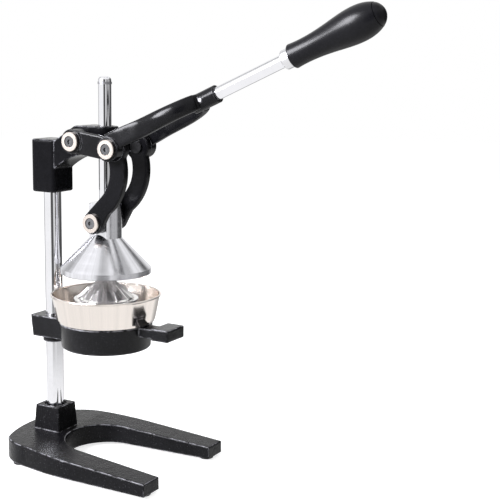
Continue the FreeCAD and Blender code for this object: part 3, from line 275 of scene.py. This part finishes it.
def make_turning_group():
    """Turning lines: fine rings round the local Z axis, from the distance to it and the height along it, and
    painted reflection streaks.

    The streaks follow the direction round the axis alone, so that they run from the middle outwards; they
    darken the colour in radial wedges as painted reflections of the stretched highlights on turned metal.
    """
    broad_to_fine, broad_levels = 0.08, (0.35, 0.65)
    # Painted reflection streaks: noise round the axis that darkens the colour in radial wedges
    reflection_streaks_per_radius, reflection_streak_levels = 9.0, (0.38, 0.62)
    group, start, end = new_group(
        "turning_lines",
        [("Vector", "NodeSocketVector", None), ("Lines per metre", "NodeSocketFloat", 2500.0),
         ("Smooth", "NodeSocketFloat", 0.16), ("Rough", "NodeSocketFloat", 0.26)],
        [("Height", "NodeSocketFloat"), ("Roughness", "NodeSocketFloat"), ("Painted streak", "NodeSocketFloat")])
    lines_per_metre = start.outputs["Lines per metre"]
    split = group.nodes.new("ShaderNodeSeparateXYZ")
    group.links.new(start.outputs["Vector"], split.inputs[0])
    x, y, z = split.outputs["X"], split.outputs["Y"], split.outputs["Z"]
    squares = add_math(group, "ADD", add_math(group, "MULTIPLY", x, x), add_math(group, "MULTIPLY", y, y))
    radius = add_math(group, "SQRT", squares)
    profile = group.nodes.new("ShaderNodeCombineXYZ")
    group.links.new(radius, profile.inputs["X"])
    group.links.new(z, profile.inputs["Y"])
    fine = add_noise(group, profile.outputs[0], lines_per_metre, detail=2.0)
    group.links.new(fine, end.inputs["Height"])
    broad_scale = add_math(group, "MULTIPLY", lines_per_metre, broad_to_fine)
    broad = add_noise(group, profile.outputs[0], broad_scale, detail=2.0)
    gloss = add_range(group, broad, broad_levels, (start.outputs["Smooth"], start.outputs["Rough"]))
    group.links.new(gloss, end.inputs["Roughness"])
    round_way = group.nodes.new("ShaderNodeCombineXYZ")
    group.links.new(add_math(group, "DIVIDE", x, radius), round_way.inputs["X"])
    group.links.new(add_math(group, "DIVIDE", y, radius), round_way.inputs["Y"])
    reflection_streak = add_noise(group, round_way.outputs[0], reflection_streaks_per_radius, detail=4.0, roughness=0.6)
    group.links.new(add_range(group, reflection_streak, reflection_streak_levels), end.inputs["Painted streak"])
    return group


def make_edge_rounding_and_highlight_group():
    """Rounded edges and a painted highlight mask: the mask is where the surface turns within a radius, and on
    level fillets, broken up by noise, and it paints a pale colour there in place of the highlights of light
    on them.

    The turn is the cosine between the face's normal and the normal of a rounded copy. A fillet counts
    where its normal leans between level and upright.
    """
    # Cosines over which the painted edge highlight comes in, leans that mark a fillet for it, and the noise
    # that breaks it up
    highlight_cosines, fillet_start, fillet_end = (0.84, 0.975), (0.45, 0.65), (0.88, 0.96)
    breaks_per_metre, break_softness, bevel_samples = 110.0, 0.16, 6
    group, start, end = new_group(
        "edge_rounding_and_painted_highlight",
        [("Vector", "NodeSocketVector", None), ("Radius", "NodeSocketFloat", 0.0015),
         ("Break up", "NodeSocketFloat", 0.5), ("Fillets", "NodeSocketFloat", 0.0)],
        [("Mask", "NodeSocketFloat"), ("Normal", "NodeSocketVector")])
    break_up = start.outputs["Break up"]
    rounded = group.nodes.new("ShaderNodeBevel")
    rounded.samples = bevel_samples
    group.links.new(start.outputs["Radius"], rounded.inputs["Radius"])
    group.links.new(rounded.outputs["Normal"], end.inputs["Normal"])
    face = group.nodes.new("ShaderNodeNewGeometry").outputs["Normal"]
    turned = add_range(group, add_dot(group, rounded.outputs["Normal"], face), highlight_cosines, (1.0, 0.0))
    split = group.nodes.new("ShaderNodeSeparateXYZ")
    group.links.new(face, split.inputs[0])
    lean = split.outputs["Z"]
    # Painted highlight on level fillets, picked by how far their normal leans up
    fillet = add_math(group, "MULTIPLY", add_range(group, lean, fillet_start),
                      add_range(group, lean, fillet_end, (1.0, 0.0)))
    turned = add_math(group, "MAXIMUM", turned, add_math(group, "MULTIPLY", fillet, start.outputs["Fillets"]))
    break_noise = add_noise(group, start.outputs["Vector"], breaks_per_metre, detail=4.0, roughness=0.65)
    broken = add_range(group, break_noise, (break_up, add_math(group, "ADD", break_up, break_softness)))
    group.links.new(add_math(group, "MULTIPLY", turned, broken), end.inputs["Mask"])
    return group


GROUP_MAKERS = {"cast_grain_and_painted_glints": make_cast_grain_and_glints_group, "handling_haze": make_haze_group,
                "turning_lines": make_turning_group, "edge_rounding_and_painted_highlight": make_edge_rounding_and_highlight_group}


def add_group(tree, name, vector, **values):
    """A shared group placed in a material with its own values; spaces in socket names are underscores here.

    The group is made the first time that it is asked for.
    """
    if name not in bpy.data.node_groups:
        GROUP_MAKERS[name]()
    node = tree.nodes.new("ShaderNodeGroup")
    node.node_tree = bpy.data.node_groups[name]
    tree.links.new(vector, node.inputs["Vector"])
    for label, value in values.items():
        node.inputs[label.replace("_", " ")].default_value = value
    return node


# Finishes


def new_finish(name, colour, metallic, roughness):
    """A material with a Principled shader, and its tree, shader node and Object coordinates."""
    material = bpy.data.materials.new(name)
    material.use_nodes = True
    tree = material.node_tree
    shader = tree.nodes["Principled BSDF"]
    shader.inputs["Base Color"].default_value = (*colour, 1.0)
    shader.inputs["Metallic"].default_value = metallic
    shader.inputs["Roughness"].default_value = roughness
    place = tree.nodes.new("ShaderNodeTexCoord").outputs["Object"]
    return material, tree, shader, place


def add_bump(tree, shader, height, distance, base_normal=None):
    """A bump from a height to the shader's normal, over another normal where one is given."""
    bump = tree.nodes.new("ShaderNodeBump")
    if base_normal:
        tree.links.new(base_normal, bump.inputs["Normal"])
    bump.inputs["Distance"].default_value = distance
    tree.links.new(height, bump.inputs["Height"])
    tree.links.new(bump.outputs["Normal"], shader.inputs["Normal"])


def add_turned_place(tree, place, centre, rotation):
    """Object coordinates moved to a centre and turned, so that a pattern runs round a piece's own axis."""
    mapping = tree.nodes.new("ShaderNodeMapping")
    mapping.vector_type = "TEXTURE"
    mapping.inputs["Location"].default_value = centre
    mapping.inputs["Rotation"].default_value = rotation
    tree.links.new(place, mapping.inputs["Vector"])
    return mapping.outputs["Vector"]


def shade(colour, factor):
    """A colour made lighter or darker."""
    return tuple(min(1.0, max(0.0, part * factor)) for part in colour)


# Each enamel's grains per metre, share of the grain's full depth, roughness where it is glossy and where
# dull, radius that its edges seem rounded to, specular level, noise level above which an edge gets its
# painted highlight, how much its level fillets get the painted highlight, and how strong its painted glints
# are
ENAMELS = {
    "base_enamel": dict(grains=380.0, grain_depth=2.6, gloss=0.10, dull=0.26, edge_radius=0.0026,
                        specular=0.13, highlight_break_up=0.42, fillet_highlight=0.7, painted_glints=0.10),
    "ring_enamel": dict(grains=480.0, grain_depth=1.1, gloss=0.10, dull=0.24, edge_radius=0.0032,
                        specular=0.22, highlight_break_up=0.40, fillet_highlight=1.0, painted_glints=0.07),
    "bracket_enamel": dict(grains=480.0, grain_depth=0.4, gloss=0.12, dull=0.24, edge_radius=0.0032,
                           specular=0.06, highlight_break_up=0.42, fillet_highlight=0.4, painted_glints=0.03),
    "link_enamel": dict(grains=480.0, grain_depth=0.4, gloss=0.12, dull=0.24, edge_radius=0.0026,
                        specular=0.10, highlight_break_up=0.42, fillet_highlight=0.0, painted_glints=0.03),
    "lever_enamel": dict(grains=480.0, grain_depth=0.03, gloss=0.18, dull=0.25, edge_radius=0.0022,
                         specular=0.17, highlight_break_up=0.44, fillet_highlight=0.0, painted_glints=0.02),
}


def make_enamel(name, finishes, grains, grain_depth, gloss, dull, edge_radius, specular, highlight_break_up, fillet_highlight,
                painted_glints):
    """Gloss black enamel over a casting: its grain shows through, its edges are soft, and a painted highlight
    colour lies on its edges, fillets and glints in places.
    """
    material, tree, shader, place = new_finish(name, finishes.enamel_colour, 0.0, 0.2)
    shader.inputs["Specular IOR Level"].default_value = specular
    grain = add_group(tree, "cast_grain_and_painted_glints", place, Scale=grains, Gloss=gloss, Dull=dull)
    tree.links.new(grain.outputs["Roughness"], shader.inputs["Roughness"])
    edges = add_group(tree, "edge_rounding_and_painted_highlight", place, Radius=edge_radius, Break_up=highlight_break_up, Fillets=fillet_highlight)
    add_bump(tree, shader, grain.outputs["Height"], finishes.enamel_grain * grain_depth,
             edges.outputs["Normal"])
    haze = add_group(tree, "handling_haze", place)
    tone = add_colour_mix(tree, haze.outputs["Mask"], shade(finishes.enamel_colour, 0.9),
                          shade(finishes.enamel_colour, 1.5))
    # Painted glints: the share of the pale painted highlight colour laid on the flecks
    painted_glint_mask = add_math(tree, "MULTIPLY", grain.outputs["Painted glint"], painted_glints)
    # Painted highlights: the pale colour laid on the edge mask and on the glint mask
    highlighted_colour = add_colour_mix(tree, add_math(tree, "MAXIMUM", edges.outputs["Mask"], painted_glint_mask), tone,
                            finishes.painted_highlight_colour)
    tree.links.new(highlighted_colour, shader.inputs["Base Color"])
    return material


def make_plated(name, colour, clean, hazy):
    """Plate with faint handling haze, a little darker where it is hazy."""
    material, tree, shader, place = new_finish(name, colour, 1.0, clean)
    haze = add_group(tree, "handling_haze", place, Clean=clean, Hazy=hazy)
    tree.links.new(haze.outputs["Roughness"], shader.inputs["Roughness"])
    tree.links.new(add_colour_mix(tree, haze.outputs["Mask"], colour, shade(colour, 0.94)),
                   shader.inputs["Base Color"])
    return material


def make_turned(name, colour, centre, lines, smooth, rough, depth, reflection_streak_shade, rotation=(0.0, 0.0, 0.0)):
    """Turned metal: fine rings round the piece's own axis that stretch the highlights, and painted reflection
    streaks that darken its colour in radial wedges.
    """
    material, tree, shader, place = new_finish(name, colour, 1.0, smooth)
    axis_place = add_turned_place(tree, place, centre, rotation)
    turning = add_group(tree, "turning_lines", axis_place, Lines_per_metre=lines, Smooth=smooth, Rough=rough)
    tree.links.new(turning.outputs["Roughness"], shader.inputs["Roughness"])
    add_bump(tree, shader, turning.outputs["Height"], depth)
    # Painted reflection streaks: the colour darkened by the streak shade in radial wedges
    tree.links.new(add_colour_mix(tree, turning.outputs["Painted streak"], colour, shade(colour, reflection_streak_shade)),
                   shader.inputs["Base Color"])
    return material


def make_moulded(name, colour, clean, hazy, grains, grain_depth, specular):
    """Moulded plastic or rubber: a very fine grain, and a gloss that handling has changed in places."""
    material, tree, shader, place = new_finish(name, colour, 0.0, clean)
    shader.inputs["Specular IOR Level"].default_value = specular
    haze = add_group(tree, "handling_haze", place, Clean=clean, Hazy=hazy)
    tree.links.new(haze.outputs["Roughness"], shader.inputs["Roughness"])
    tree.links.new(add_colour_mix(tree, haze.outputs["Mask"], colour, shade(colour, 1.4)),
                   shader.inputs["Base Color"])
    grain = add_group(tree, "cast_grain_and_painted_glints", place, Scale=grains)
    add_bump(tree, shader, grain.outputs["Height"], grain_depth)
    return material


def dress(material, *names):
    """Gives solids their finish."""
    for name in names:
        mesh = nodes[name].data
        mesh.materials.clear()
        mesh.materials.append(material)


# The prongs' crowned faces, worked out with numpy

# The handle pin's distance along the bar's line from the point square below pivot B
PIN_DISTANCE = 0.121
# Distances from that point at which a crowned face starts and ends, and how many rings it has
PRONG_START, PRONG_END, PRONG_RINGS = 0.006, 0.1165, 90
# Where the fork narrows from its web to its run, and over what length
NARROW_START, NARROW_LENGTH = 0.014, 0.036
# Where the fork bows in to the socket, and the bow's length
BOW_START, BOW_LENGTH = 0.066, 0.0555
# Where the crown rises, and where it falls again by its fade, each with its length
CROWN_START, CROWN_LENGTH = 0.030, 0.048
FADE_START, FADE_LENGTH, CROWN_FADE = 0.092, 0.0245, 0.7
# A prong's height at the start, what it loses over the taper's length, and its middle's drop below the line
PRONG_HEIGHT, HEIGHT_LOSS, TAPER_LENGTH, MIDDLE_DROP = 0.0222, 0.0042, 0.119, 0.0027
# Points round a ring, and the exponent that makes it a rounded bar
RING_POINTS, CORNER_POWER = 64, 0.4


def tube_mesh(name, rings):
    """A mesh from rings of points (ring, point round it, xyz): quads between rings and a fan at each end.

    The faces are turned over where the enclosed volume, the sum of each triangle's corner product, is
    negative.
    """
    count, around, _ = rings.shape
    grid = np.arange(count * around).reshape(count, around)
    after = np.roll(grid, -1, axis=1)
    quads = np.stack([grid[:-1], after[:-1], after[1:], grid[1:]], axis=-1).reshape(-1, 4)
    walls = np.concatenate([quads[:, [0, 1, 2]], quads[:, [0, 2, 3]]])
    start, end = count * around, count * around + 1
    first = np.stack([np.full(around, start), after[0], grid[0]], axis=-1)
    last = np.stack([np.full(around, end), grid[-1], after[-1]], axis=-1)
    faces = np.concatenate([walls, first, last])
    points = np.concatenate([rings.reshape(-1, 3), rings[0].mean(axis=0)[None], rings[-1].mean(axis=0)[None]])
    a, b, c = points[faces[:, 0]], points[faces[:, 1]], points[faces[:, 2]]
    if np.einsum("ij,ij->", a, np.cross(b, c)) < 0:
        faces = faces[:, ::-1]
    mesh = bpy.data.meshes.new(name)
    mesh.from_pydata(points.tolist(), [], faces.tolist())
    mesh.polygons.foreach_set("use_smooth", np.ones(len(faces), dtype=bool))
    mesh.update()
    return mesh


def add_piece(name, mesh, material, body):
    """Puts a new surface in the scene, gives it its finish and lets it move with a body."""
    piece = bpy.data.objects.new(name, mesh)
    bpy.context.scene.collection.objects.link(piece)
    mesh.materials.append(material)
    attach(piece, body)


def smooth_step(value):
    """0 below 0, 1 above 1, and 3v^2 - 2v^3 between."""
    v = np.clip(value, 0.0, 1.0)
    return v * v * (3.0 - 2.0 * v)


def lever_slope():
    """A point below pivot B on the handle bar's line, and the line's direction, from the pin and the bar."""
    pin, bar = np.array(node_centre("handle_pin")), np.array(node_centre("handle_bar"))
    along = (bar - pin) / np.linalg.norm(bar - pin)
    return pin - PIN_DISTANCE * along, along


def fork_half_width(sizes, s):
    """The fork's outer half width at a distance s.

    It is the web's, eased to the run's by a smooth step, and then run * sqrt(1 - bow^2).
    """
    narrowed = smooth_step((s - NARROW_START) / NARROW_LENGTH)
    run = sizes.prong_web_x + (sizes.prong_run_x - sizes.prong_web_x) * narrowed
    bow = np.clip((s - BOW_START) / BOW_LENGTH, 0.0, 1.0)
    return np.where(s < BOW_START, run, sizes.prong_run_x * np.sqrt(1.0 - bow * bow))


def prong_rings(sizes, side):
    """The crowned surface of one prong of the lever, as rings along it.

    Each ring is a superellipse |a/p|^5 + |b/q|^5 = 1 across the prong, turned in plan with the slope of the
    fork's half width. Its outer half is pushed out by crown * (1 - (b/q)^2). The crown rises by a smooth step
    while the fork's narrowing ends, and loses a share of itself by another before the socket.
    """
    s = np.linspace(PRONG_START, PRONG_END, PRONG_RINGS)
    step = 0.0005
    turn = np.arctan2(fork_half_width(sizes, s - step) - fork_half_width(sizes, s + step), 2 * step)
    share = s / TAPER_LENGTH
    half_thick = sizes.prong_thickness / 2
    middle = -MIDDLE_DROP * (1.0 - share ** 4)
    x = fork_half_width(sizes, s) - half_thick * np.cos(turn)
    centre = s - half_thick * np.sin(turn)
    p = half_thick + sizes.skin_clearance
    q = (PRONG_HEIGHT - HEIGHT_LOSS * share) / 2 + sizes.skin_clearance
    v = np.linspace(0.0, 2.0 * np.pi, RING_POINTS + 1)[:-1]
    a = p * np.sign(np.cos(v)) * np.abs(np.cos(v)) ** CORNER_POWER
    b = q[:, None] * (np.sign(np.sin(v)) * np.abs(np.sin(v)) ** CORNER_POWER)[None, :]
    fade = 1.0 - CROWN_FADE * smooth_step((s - FADE_START) / FADE_LENGTH)
    crown = sizes.prong_crown * smooth_step((s - CROWN_START) / CROWN_LENGTH) * fade
    push = crown[:, None] * (1.0 - (b / q[:, None]) ** 2) * (np.cos(v) > 0)[None, :]
    a = a[None, :] + push
    start, along = lever_slope()
    square = np.array([0.0, -along[2], along[1]])
    square = square * np.sign(square[2])
    distance = centre[:, None] + a * np.sin(turn)[:, None]
    out = x[:, None] + a * np.cos(turn)[:, None]
    rings = start + distance[..., None] * along + (middle[:, None] + b)[..., None] * square
    rings[..., 0] += side * out
    return rings


# Studio

# The camera's azimuth, pitch and roll in degrees, and its place
CAMERA_ANGLES = (-61.32, 9.79, 0.92)
CAMERA_PLACE = (-1.0709, ROD_Y - 0.7863, 0.4978)
SENSOR_WIDTH = 36.0
FLOOR_SIDES = 96
# The point that the lamps face, in the middle of the press
LAMP_TARGET = np.array([0.0, 0.0, 0.3])
# Each lamp's azimuth and elevation in degrees, distance, width and height, watts and colour, and whether
# the press mirrors it
LAMPS = (
    ("streak_lamp", (-60, 28), 1.9, (0.9, 1.0), 110.0, (0.95, 0.95, 1.0), True),
    ("overhead_lamp", (20, 62), 2.2, (1.5, 1.5), 11.0, (1.0, 0.99, 0.97), False),
    ("rear_lamp", (170, 40), 2.2, (1.2, 1.2), 7.0, (1.0, 1.0, 1.0), False),
)
# Upright panels round the press, as azimuth in degrees and brightness, that make the bands in the chrome
UPRIGHT_PANELS = ((-180, 1.0), (-152, 0.90), (-124, 0.38), (-112, 1.0), (-20, 1.0), (-13, 0.08), (12, 0.10),
                  (18, 0.8), (34, 0.75), (38, 0.15), (44, 0.2), (50, 0.5), (92, 0.45), (104, 0.06),
                  (148, 0.10), (160, 0.9), (180, 1.0))
# Sines of the elevations between which the panels give way to the near floor below and the white above
PANEL_FOOT, PANEL_HEAD = (-0.29, -0.19), (0.45, 0.62)
# Dark flags over the press and on the floor behind it, as azimuth, elevation and half angle in degrees, and
# brightness
FLAGS = ((-15, 78, 8, 0.55), (100, 60, 12, 0.55), (-124, 41, 5, 0.12), (165, -28, 18, 0.45))
# Where a flag's edge starts and ends to fade, as shares of its half angle
FLAG_EDGE = (1.3, 0.7)
# The world's brightness as a light on surfaces that aren't mirrors
PLAIN_LIGHT = 0.40
# The floor's tones, and the glow that makes it white for the camera
FLOOR_TONES, FLOOR_GLOW = (0.54, 0.56), 0.77


def view_axes():
    """The camera's right, up and back directions: it looks from the left front, a little downwards."""
    azimuth, pitch, roll = (math.radians(angle) for angle in CAMERA_ANGLES)
    right = np.array([math.cos(azimuth), math.sin(azimuth), 0.0])
    back = np.array([math.sin(azimuth) * math.cos(pitch), -math.cos(azimuth) * math.cos(pitch),
                     math.sin(pitch)])
    up = np.cross(back, right)
    turned_right = right * math.cos(roll) + up * math.sin(roll)
    turned_up = -right * math.sin(roll) + up * math.cos(roll)
    return turned_right, turned_up, back


def sky_direction(azimuth, elevation):
    """The unit vector at an azimuth, counted from the camera's side towards its right, and an elevation."""
    back = view_axes()[2]
    level_back = np.array([back[0], back[1], 0.0]) / np.hypot(back[0], back[1])
    level_right = np.array([-level_back[1], level_back[0], 0.0])
    turn, lift = math.radians(azimuth), math.radians(elevation)
    level = level_back * math.cos(turn) + level_right * math.sin(turn)
    return level * math.cos(lift) + np.array([0.0, 0.0, math.sin(lift)])


def standing_matrix(right, up, back, place):
    """The matrix that turns an object's X, Y and Z to three directions and puts it at a place."""
    rows = [[float(right[row]), float(up[row]), float(back[row]), float(place[row])] for row in range(3)]
    return Matrix(rows + [[0.0, 0.0, 0.0, 1.0]])


def make_studio_world():
    """A world that is white for the camera, plain grey as a light, and has soft dark panels in reflections.

    The upright panels stand between the floor and head height. Above them the studio is white but for the
    flags, and below them the near floor is white.
    """
    world = bpy.data.worlds.new("studio_world")
    bpy.context.scene.world = world
    world.use_nodes = True
    tree = world.node_tree
    background = tree.nodes["Background"]
    direction = tree.nodes.new("ShaderNodeTexCoord").outputs["Generated"]
    angle = add_math(tree, "ARCTAN2", add_dot(tree, direction, sky_direction(90, 0)),
                     add_dot(tree, direction, sky_direction(0, 0)))
    ramp = tree.nodes.new("ShaderNodeValToRGB")
    elements = ramp.color_ramp.elements
    while len(elements) < len(UPRIGHT_PANELS):
        elements.new(0.5)
    for element, (degrees, value) in zip(elements, UPRIGHT_PANELS):
        element.position = (degrees + 180) / 360
        element.color = (value, value, value, 1.0)
    tree.links.new(add_range(tree, angle, (-math.pi, math.pi)), ramp.inputs["Fac"])
    height = add_dot(tree, direction, (0.0, 0.0, 1.0))
    below = add_range(tree, height, PANEL_FOOT, (1.0, 0.0))
    above = add_range(tree, height, PANEL_HEAD)
    light = add_math(tree, "MAXIMUM", add_math(tree, "MAXIMUM", ramp.outputs["Color"], below), above)
    for azimuth, elevation, half_angle, value in FLAGS:
        edge = [math.cos(math.radians(half_angle * share)) for share in FLAG_EDGE]
        towards_flag = add_dot(tree, direction, sky_direction(azimuth, elevation))
        inside = add_range(tree, towards_flag, edge, (1.0, value))
        light = add_math(tree, "MULTIPLY", light, inside)
    path = tree.nodes.new("ShaderNodeLightPath")
    lit = tree.nodes.new("ShaderNodeMix")
    lit.data_type = "FLOAT"
    share_in, plain_in, mirrored_in = lit.inputs[0], lit.inputs[2], lit.inputs[3]
    plain_in.default_value = PLAIN_LIGHT
    tree.links.new(path.outputs["Is Glossy Ray"], share_in)
    tree.links.new(light, mirrored_in)
    seen = add_math(tree, "MAXIMUM", path.outputs["Is Camera Ray"], path.outputs["Is Transmission Ray"])
    tree.links.new(add_math(tree, "MAXIMUM", lit.outputs[0], seen), background.inputs["Color"])


def make_floor_finish():
    """Pale floor: it takes the press's shadow, shows white to the camera, and isn't seen in reflections."""
    patches_per_metre, patch_levels = 8.0, (0.3, 0.7)
    material, tree, shader, place = new_finish("pale_floor", (0.5, 0.5, 0.5), 0.0, 0.9)
    shader.inputs["Specular IOR Level"].default_value = 0.0
    path = tree.nodes.new("ShaderNodeLightPath")
    tone = add_range(tree, add_noise(tree, place, patches_per_metre, detail=2.0), patch_levels, FLOOR_TONES)
    tree.links.new(tone, shader.inputs["Base Color"])
    glow = tree.nodes.new("ShaderNodeEmission")
    glow_strength = add_math(tree, "MULTIPLY", path.outputs["Is Camera Ray"], FLOOR_GLOW)
    tree.links.new(glow_strength, glow.inputs["Strength"])
    both = tree.nodes.new("ShaderNodeAddShader")
    tree.links.new(shader.outputs[0], both.inputs[0])
    tree.links.new(glow.outputs[0], both.inputs[1])
    clear = tree.nodes.new("ShaderNodeBsdfTransparent")
    mix = tree.nodes.new("ShaderNodeMixShader")
    tree.links.new(path.outputs["Is Glossy Ray"], mix.inputs[0])
    tree.links.new(both.outputs[0], mix.inputs[1])
    tree.links.new(clear.outputs[0], mix.inputs[2])
    tree.links.new(mix.outputs[0], tree.nodes["Material Output"].inputs["Surface"])
    return material


def add_floor(radius):
    """A flat round floor under the press."""
    angle = np.linspace(0.0, 2.0 * np.pi, FLOOR_SIDES + 1)[:-1]
    rim = np.stack([np.cos(angle), np.sin(angle), np.zeros(FLOOR_SIDES)], axis=1) * radius
    mesh = bpy.data.meshes.new("floor")
    mesh.from_pydata(rim.tolist(), [], [list(range(FLOOR_SIDES))])
    floor = bpy.data.objects.new("floor", mesh)
    bpy.context.scene.collection.objects.link(floor)
    mesh.materials.append(make_floor_finish())


def add_lamp(name, angles, distance, size, watts, colour, mirrored):
    """A soft lamp that faces the middle of the press."""
    lamp = bpy.data.lights.new(name, "AREA")
    lamp.shape = "RECTANGLE"
    lamp.size, lamp.size_y = size
    lamp.energy = watts
    lamp.color = colour
    holder = bpy.data.objects.new(name, lamp)
    bpy.context.scene.collection.objects.link(holder)
    back = sky_direction(*angles)
    right = np.cross((0.0, 0.0, 1.0), back)
    right = right / np.linalg.norm(right)
    holder.matrix_world = standing_matrix(right, np.cross(back, right), back, LAMP_TARGET + distance * back)
    holder.visible_glossy = mirrored


def add_camera(lens):
    """The camera at the photograph's place and angle."""
    data = bpy.data.cameras.new("camera")
    data.lens = lens
    data.sensor_width = SENSOR_WIDTH
    data.clip_end = 50.0
    camera = bpy.data.objects.new("camera", data)
    bpy.context.scene.collection.objects.link(camera)
    camera.matrix_world = standing_matrix(*view_axes(), CAMERA_PLACE)
    bpy.context.scene.camera = camera


class PRESS_OT_stage(bpy.types.Operator):
    """Make the floor, the lamps, the world and the camera"""

    bl_idname = "press.stage"
    bl_label = "Stage and camera"

    def execute(self, context):
        sizes = context.scene.press_sizes
        context.scene.view_settings.view_transform = "Standard"
        make_studio_world()
        add_floor(sizes.floor_radius)
        for lamp in LAMPS:
            add_lamp(*lamp)
        add_camera(sizes.camera_lens)
        return {"FINISHED"}


class PRESS_OT_castings(bpy.types.Operator):
    """Give the castings their black enamel and the lever's prongs their crowned faces"""

    bl_idname = "press.castings"
    bl_label = "Black enamelled castings"

    def execute(self, context):
        base, ring, bracket, link, lever = (
            make_enamel(name, context.scene.press_finishes, **values) for name, values in ENAMELS.items())
        dress(base, "base_casting")
        dress(ring, "cup_ring")
        dress(bracket, "top_bracket")
        dress(link, "curved_link_right", "curved_link_left")
        dress(lever, "lever_fork")
        for label, side in (("right", 1.0), ("left", -1.0)):
            mesh = tube_mesh("lever_prong_" + label, prong_rings(context.scene.press_sizes, side))
            add_piece("lever_prong_" + label, mesh, lever, "lever")
        return {"FINISHED"}


class PRESS_OT_bright_bars(bpy.types.Operator):
    """Give the post, the rod, the handle bar and their small fittings their plating"""

    bl_idname = "press.bright_bars"
    bl_label = "Chromed bars"

    def execute(self, context):
        finishes = context.scene.press_finishes
        chrome = make_plated("bright_chrome", finishes.chrome_colour, clean=0.05, hazy=0.10)
        zinc = make_plated("zinc_plate", finishes.zinc_colour, clean=0.3, hazy=0.45)
        blacked = make_plated("blacked_steel", finishes.blacked_colour, clean=0.25, hazy=0.4)
        brass = make_plated("bush_brass", finishes.brass_colour, clean=0.25, hazy=0.4)
        ferrule = make_plated("ferrule_satin", finishes.ferrule_colour, clean=0.22, hazy=0.34)
        dress(chrome, "post", "press_rod", "handle_bar", "ring_clamp_screw")
        dress(zinc, "base_bolt", "base_washer", "foot_screws", "pivot_shaft_a", "pivot_shaft_c", "handle_pin",
              "rod_stop_ring", "rod_set_screw", "bracket_set_screws")
        dress(blacked, "pivot_b_pins")
        dress(brass, "guide_bushes", "pivot_a_bushes", "pivot_c_bushes")
        dress(ferrule, "grip_ferrule")
        return {"FINISHED"}


class PRESS_OT_press_cone(bpy.types.Operator):
    """Give the press cone its turned aluminium"""

    bl_idname = "press.press_cone"
    bl_label = "Press cone"

    def execute(self, context):
        cone = make_turned("turned_aluminium", context.scene.press_finishes.aluminium_colour, ROD_AXIS,
                           lines=2600.0, smooth=0.15, rough=0.21, depth=0.00002, reflection_streak_shade=0.88)
        dress(cone, "press_cone")
        return {"FINISHED"}


class PRESS_OT_bowl_and_strainer(bpy.types.Operator):
    """Give the bowl and the strainer their stainless steel"""

    bl_idname = "press.bowl_and_strainer"
    bl_label = "Bowl and strainer"

    def execute(self, context):
        finishes = context.scene.press_finishes
        bowl = make_turned("spun_stainless", finishes.stainless_colour, ROD_AXIS,
                           lines=900.0, smooth=0.11, rough=0.17, depth=0.00001, reflection_streak_shade=0.95)
        strainer = make_turned("pressed_stainless", finishes.strainer_colour, ROD_AXIS,
                               lines=700.0, smooth=0.08, rough=0.14, depth=0.00001, reflection_streak_shade=0.97)
        dress(bowl, "juice_bowl")
        dress(strainer, "strainer")
        return {"FINISHED"}


class PRESS_OT_pivot_caps(bpy.types.Operator):
    """Give the pivots' cap rings and screws their finishes"""

    bl_idname = "press.pivot_caps"
    bl_label = "Pivot caps"

    def execute(self, context):
        finishes = context.scene.press_finishes
        for letter in "abc":
            caps, screws = "pivot_%s_caps" % letter, "pivot_%s_cap_screws" % letter
            centre = tuple(node_centre(caps))
            nickel = make_turned("cap_nickel_" + letter, finishes.nickel_colour, centre, lines=2200.0,
                                 smooth=0.24, rough=0.32, depth=0.00002, reflection_streak_shade=0.98, rotation=SIDEWAYS)
            steel = make_turned("cap_screw_" + letter, finishes.screw_colour, centre, lines=1500.0,
                                smooth=0.26, rough=0.40, depth=0.00004, reflection_streak_shade=1.0, rotation=SIDEWAYS)
            dress(nickel, caps)
            dress(steel, screws)
        return {"FINISHED"}


class PRESS_OT_grip(bpy.types.Operator):
    """Give the grip and its end plug their black plastic"""

    bl_idname = "press.grip"
    bl_label = "Grip"

    def execute(self, context):
        plastic = make_moulded("grip_plastic", context.scene.press_finishes.grip_colour, clean=0.28,
                               hazy=0.33, grains=900.0, grain_depth=0.000005, specular=0.18)
        dress(plastic, "handle_grip", "grip_end_plug")
        return {"FINISHED"}


class PRESS_OT_feet(bpy.types.Operator):
    """Give the feet their rubber"""

    bl_idname = "press.feet"
    bl_label = "Rubber feet"

    def execute(self, context):
        rubber = make_moulded("foot_rubber", context.scene.press_finishes.rubber_colour, clean=0.55,
                              hazy=0.75, grains=1400.0, grain_depth=0.00012, specular=0.3)
        dress(rubber, "rubber_feet")
        return {"FINISHED"}


class PRESS_PT_panel(bpy.types.Panel):
    """The press's pieces, and its sizes and finishes"""

    bl_idname = "PRESS_PT_panel"
    bl_label = "Citrus Press"
    bl_space_type = "VIEW_3D"
    bl_region_type = "UI"
    bl_category = "Citrus Press"

    def draw(self, context):
        for operator in OPERATORS:
            self.layout.operator(operator.bl_idname)
        for group in (context.scene.press_sizes, context.scene.press_finishes):
            for name in group.bl_rna.properties.keys():
                if name not in ("rna_type", "name"):
                    self.layout.prop(group, name)


OPERATORS = (PRESS_OT_stage, PRESS_OT_castings, PRESS_OT_bright_bars, PRESS_OT_press_cone,
             PRESS_OT_bowl_and_strainer, PRESS_OT_pivot_caps, PRESS_OT_grip, PRESS_OT_feet)
CLASSES = (PressSizes, PressFinishes, *OPERATORS, PRESS_PT_panel)


def register():
    """Registers the classes and hangs the two property groups on the scene."""
    for cls in CLASSES:
        bpy.utils.register_class(cls)
    bpy.types.Scene.press_sizes = bpy.props.PointerProperty(type=PressSizes)
    bpy.types.Scene.press_finishes = bpy.props.PointerProperty(type=PressFinishes)


def unregister():
    """Takes away what register added."""
    del bpy.types.Scene.press_finishes
    del bpy.types.Scene.press_sizes
    for cls in reversed(CLASSES):
        bpy.utils.unregister_class(cls)


def main():
    """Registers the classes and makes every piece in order."""
    register()
    bpy.ops.press.stage()
    bpy.ops.press.castings()
    bpy.ops.press.bright_bars()
    bpy.ops.press.press_cone()
    bpy.ops.press.bowl_and_strainer()
    bpy.ops.press.pivot_caps()
    bpy.ops.press.grip()
    bpy.ops.press.feet()


if __name__ == "__main__":
    main()
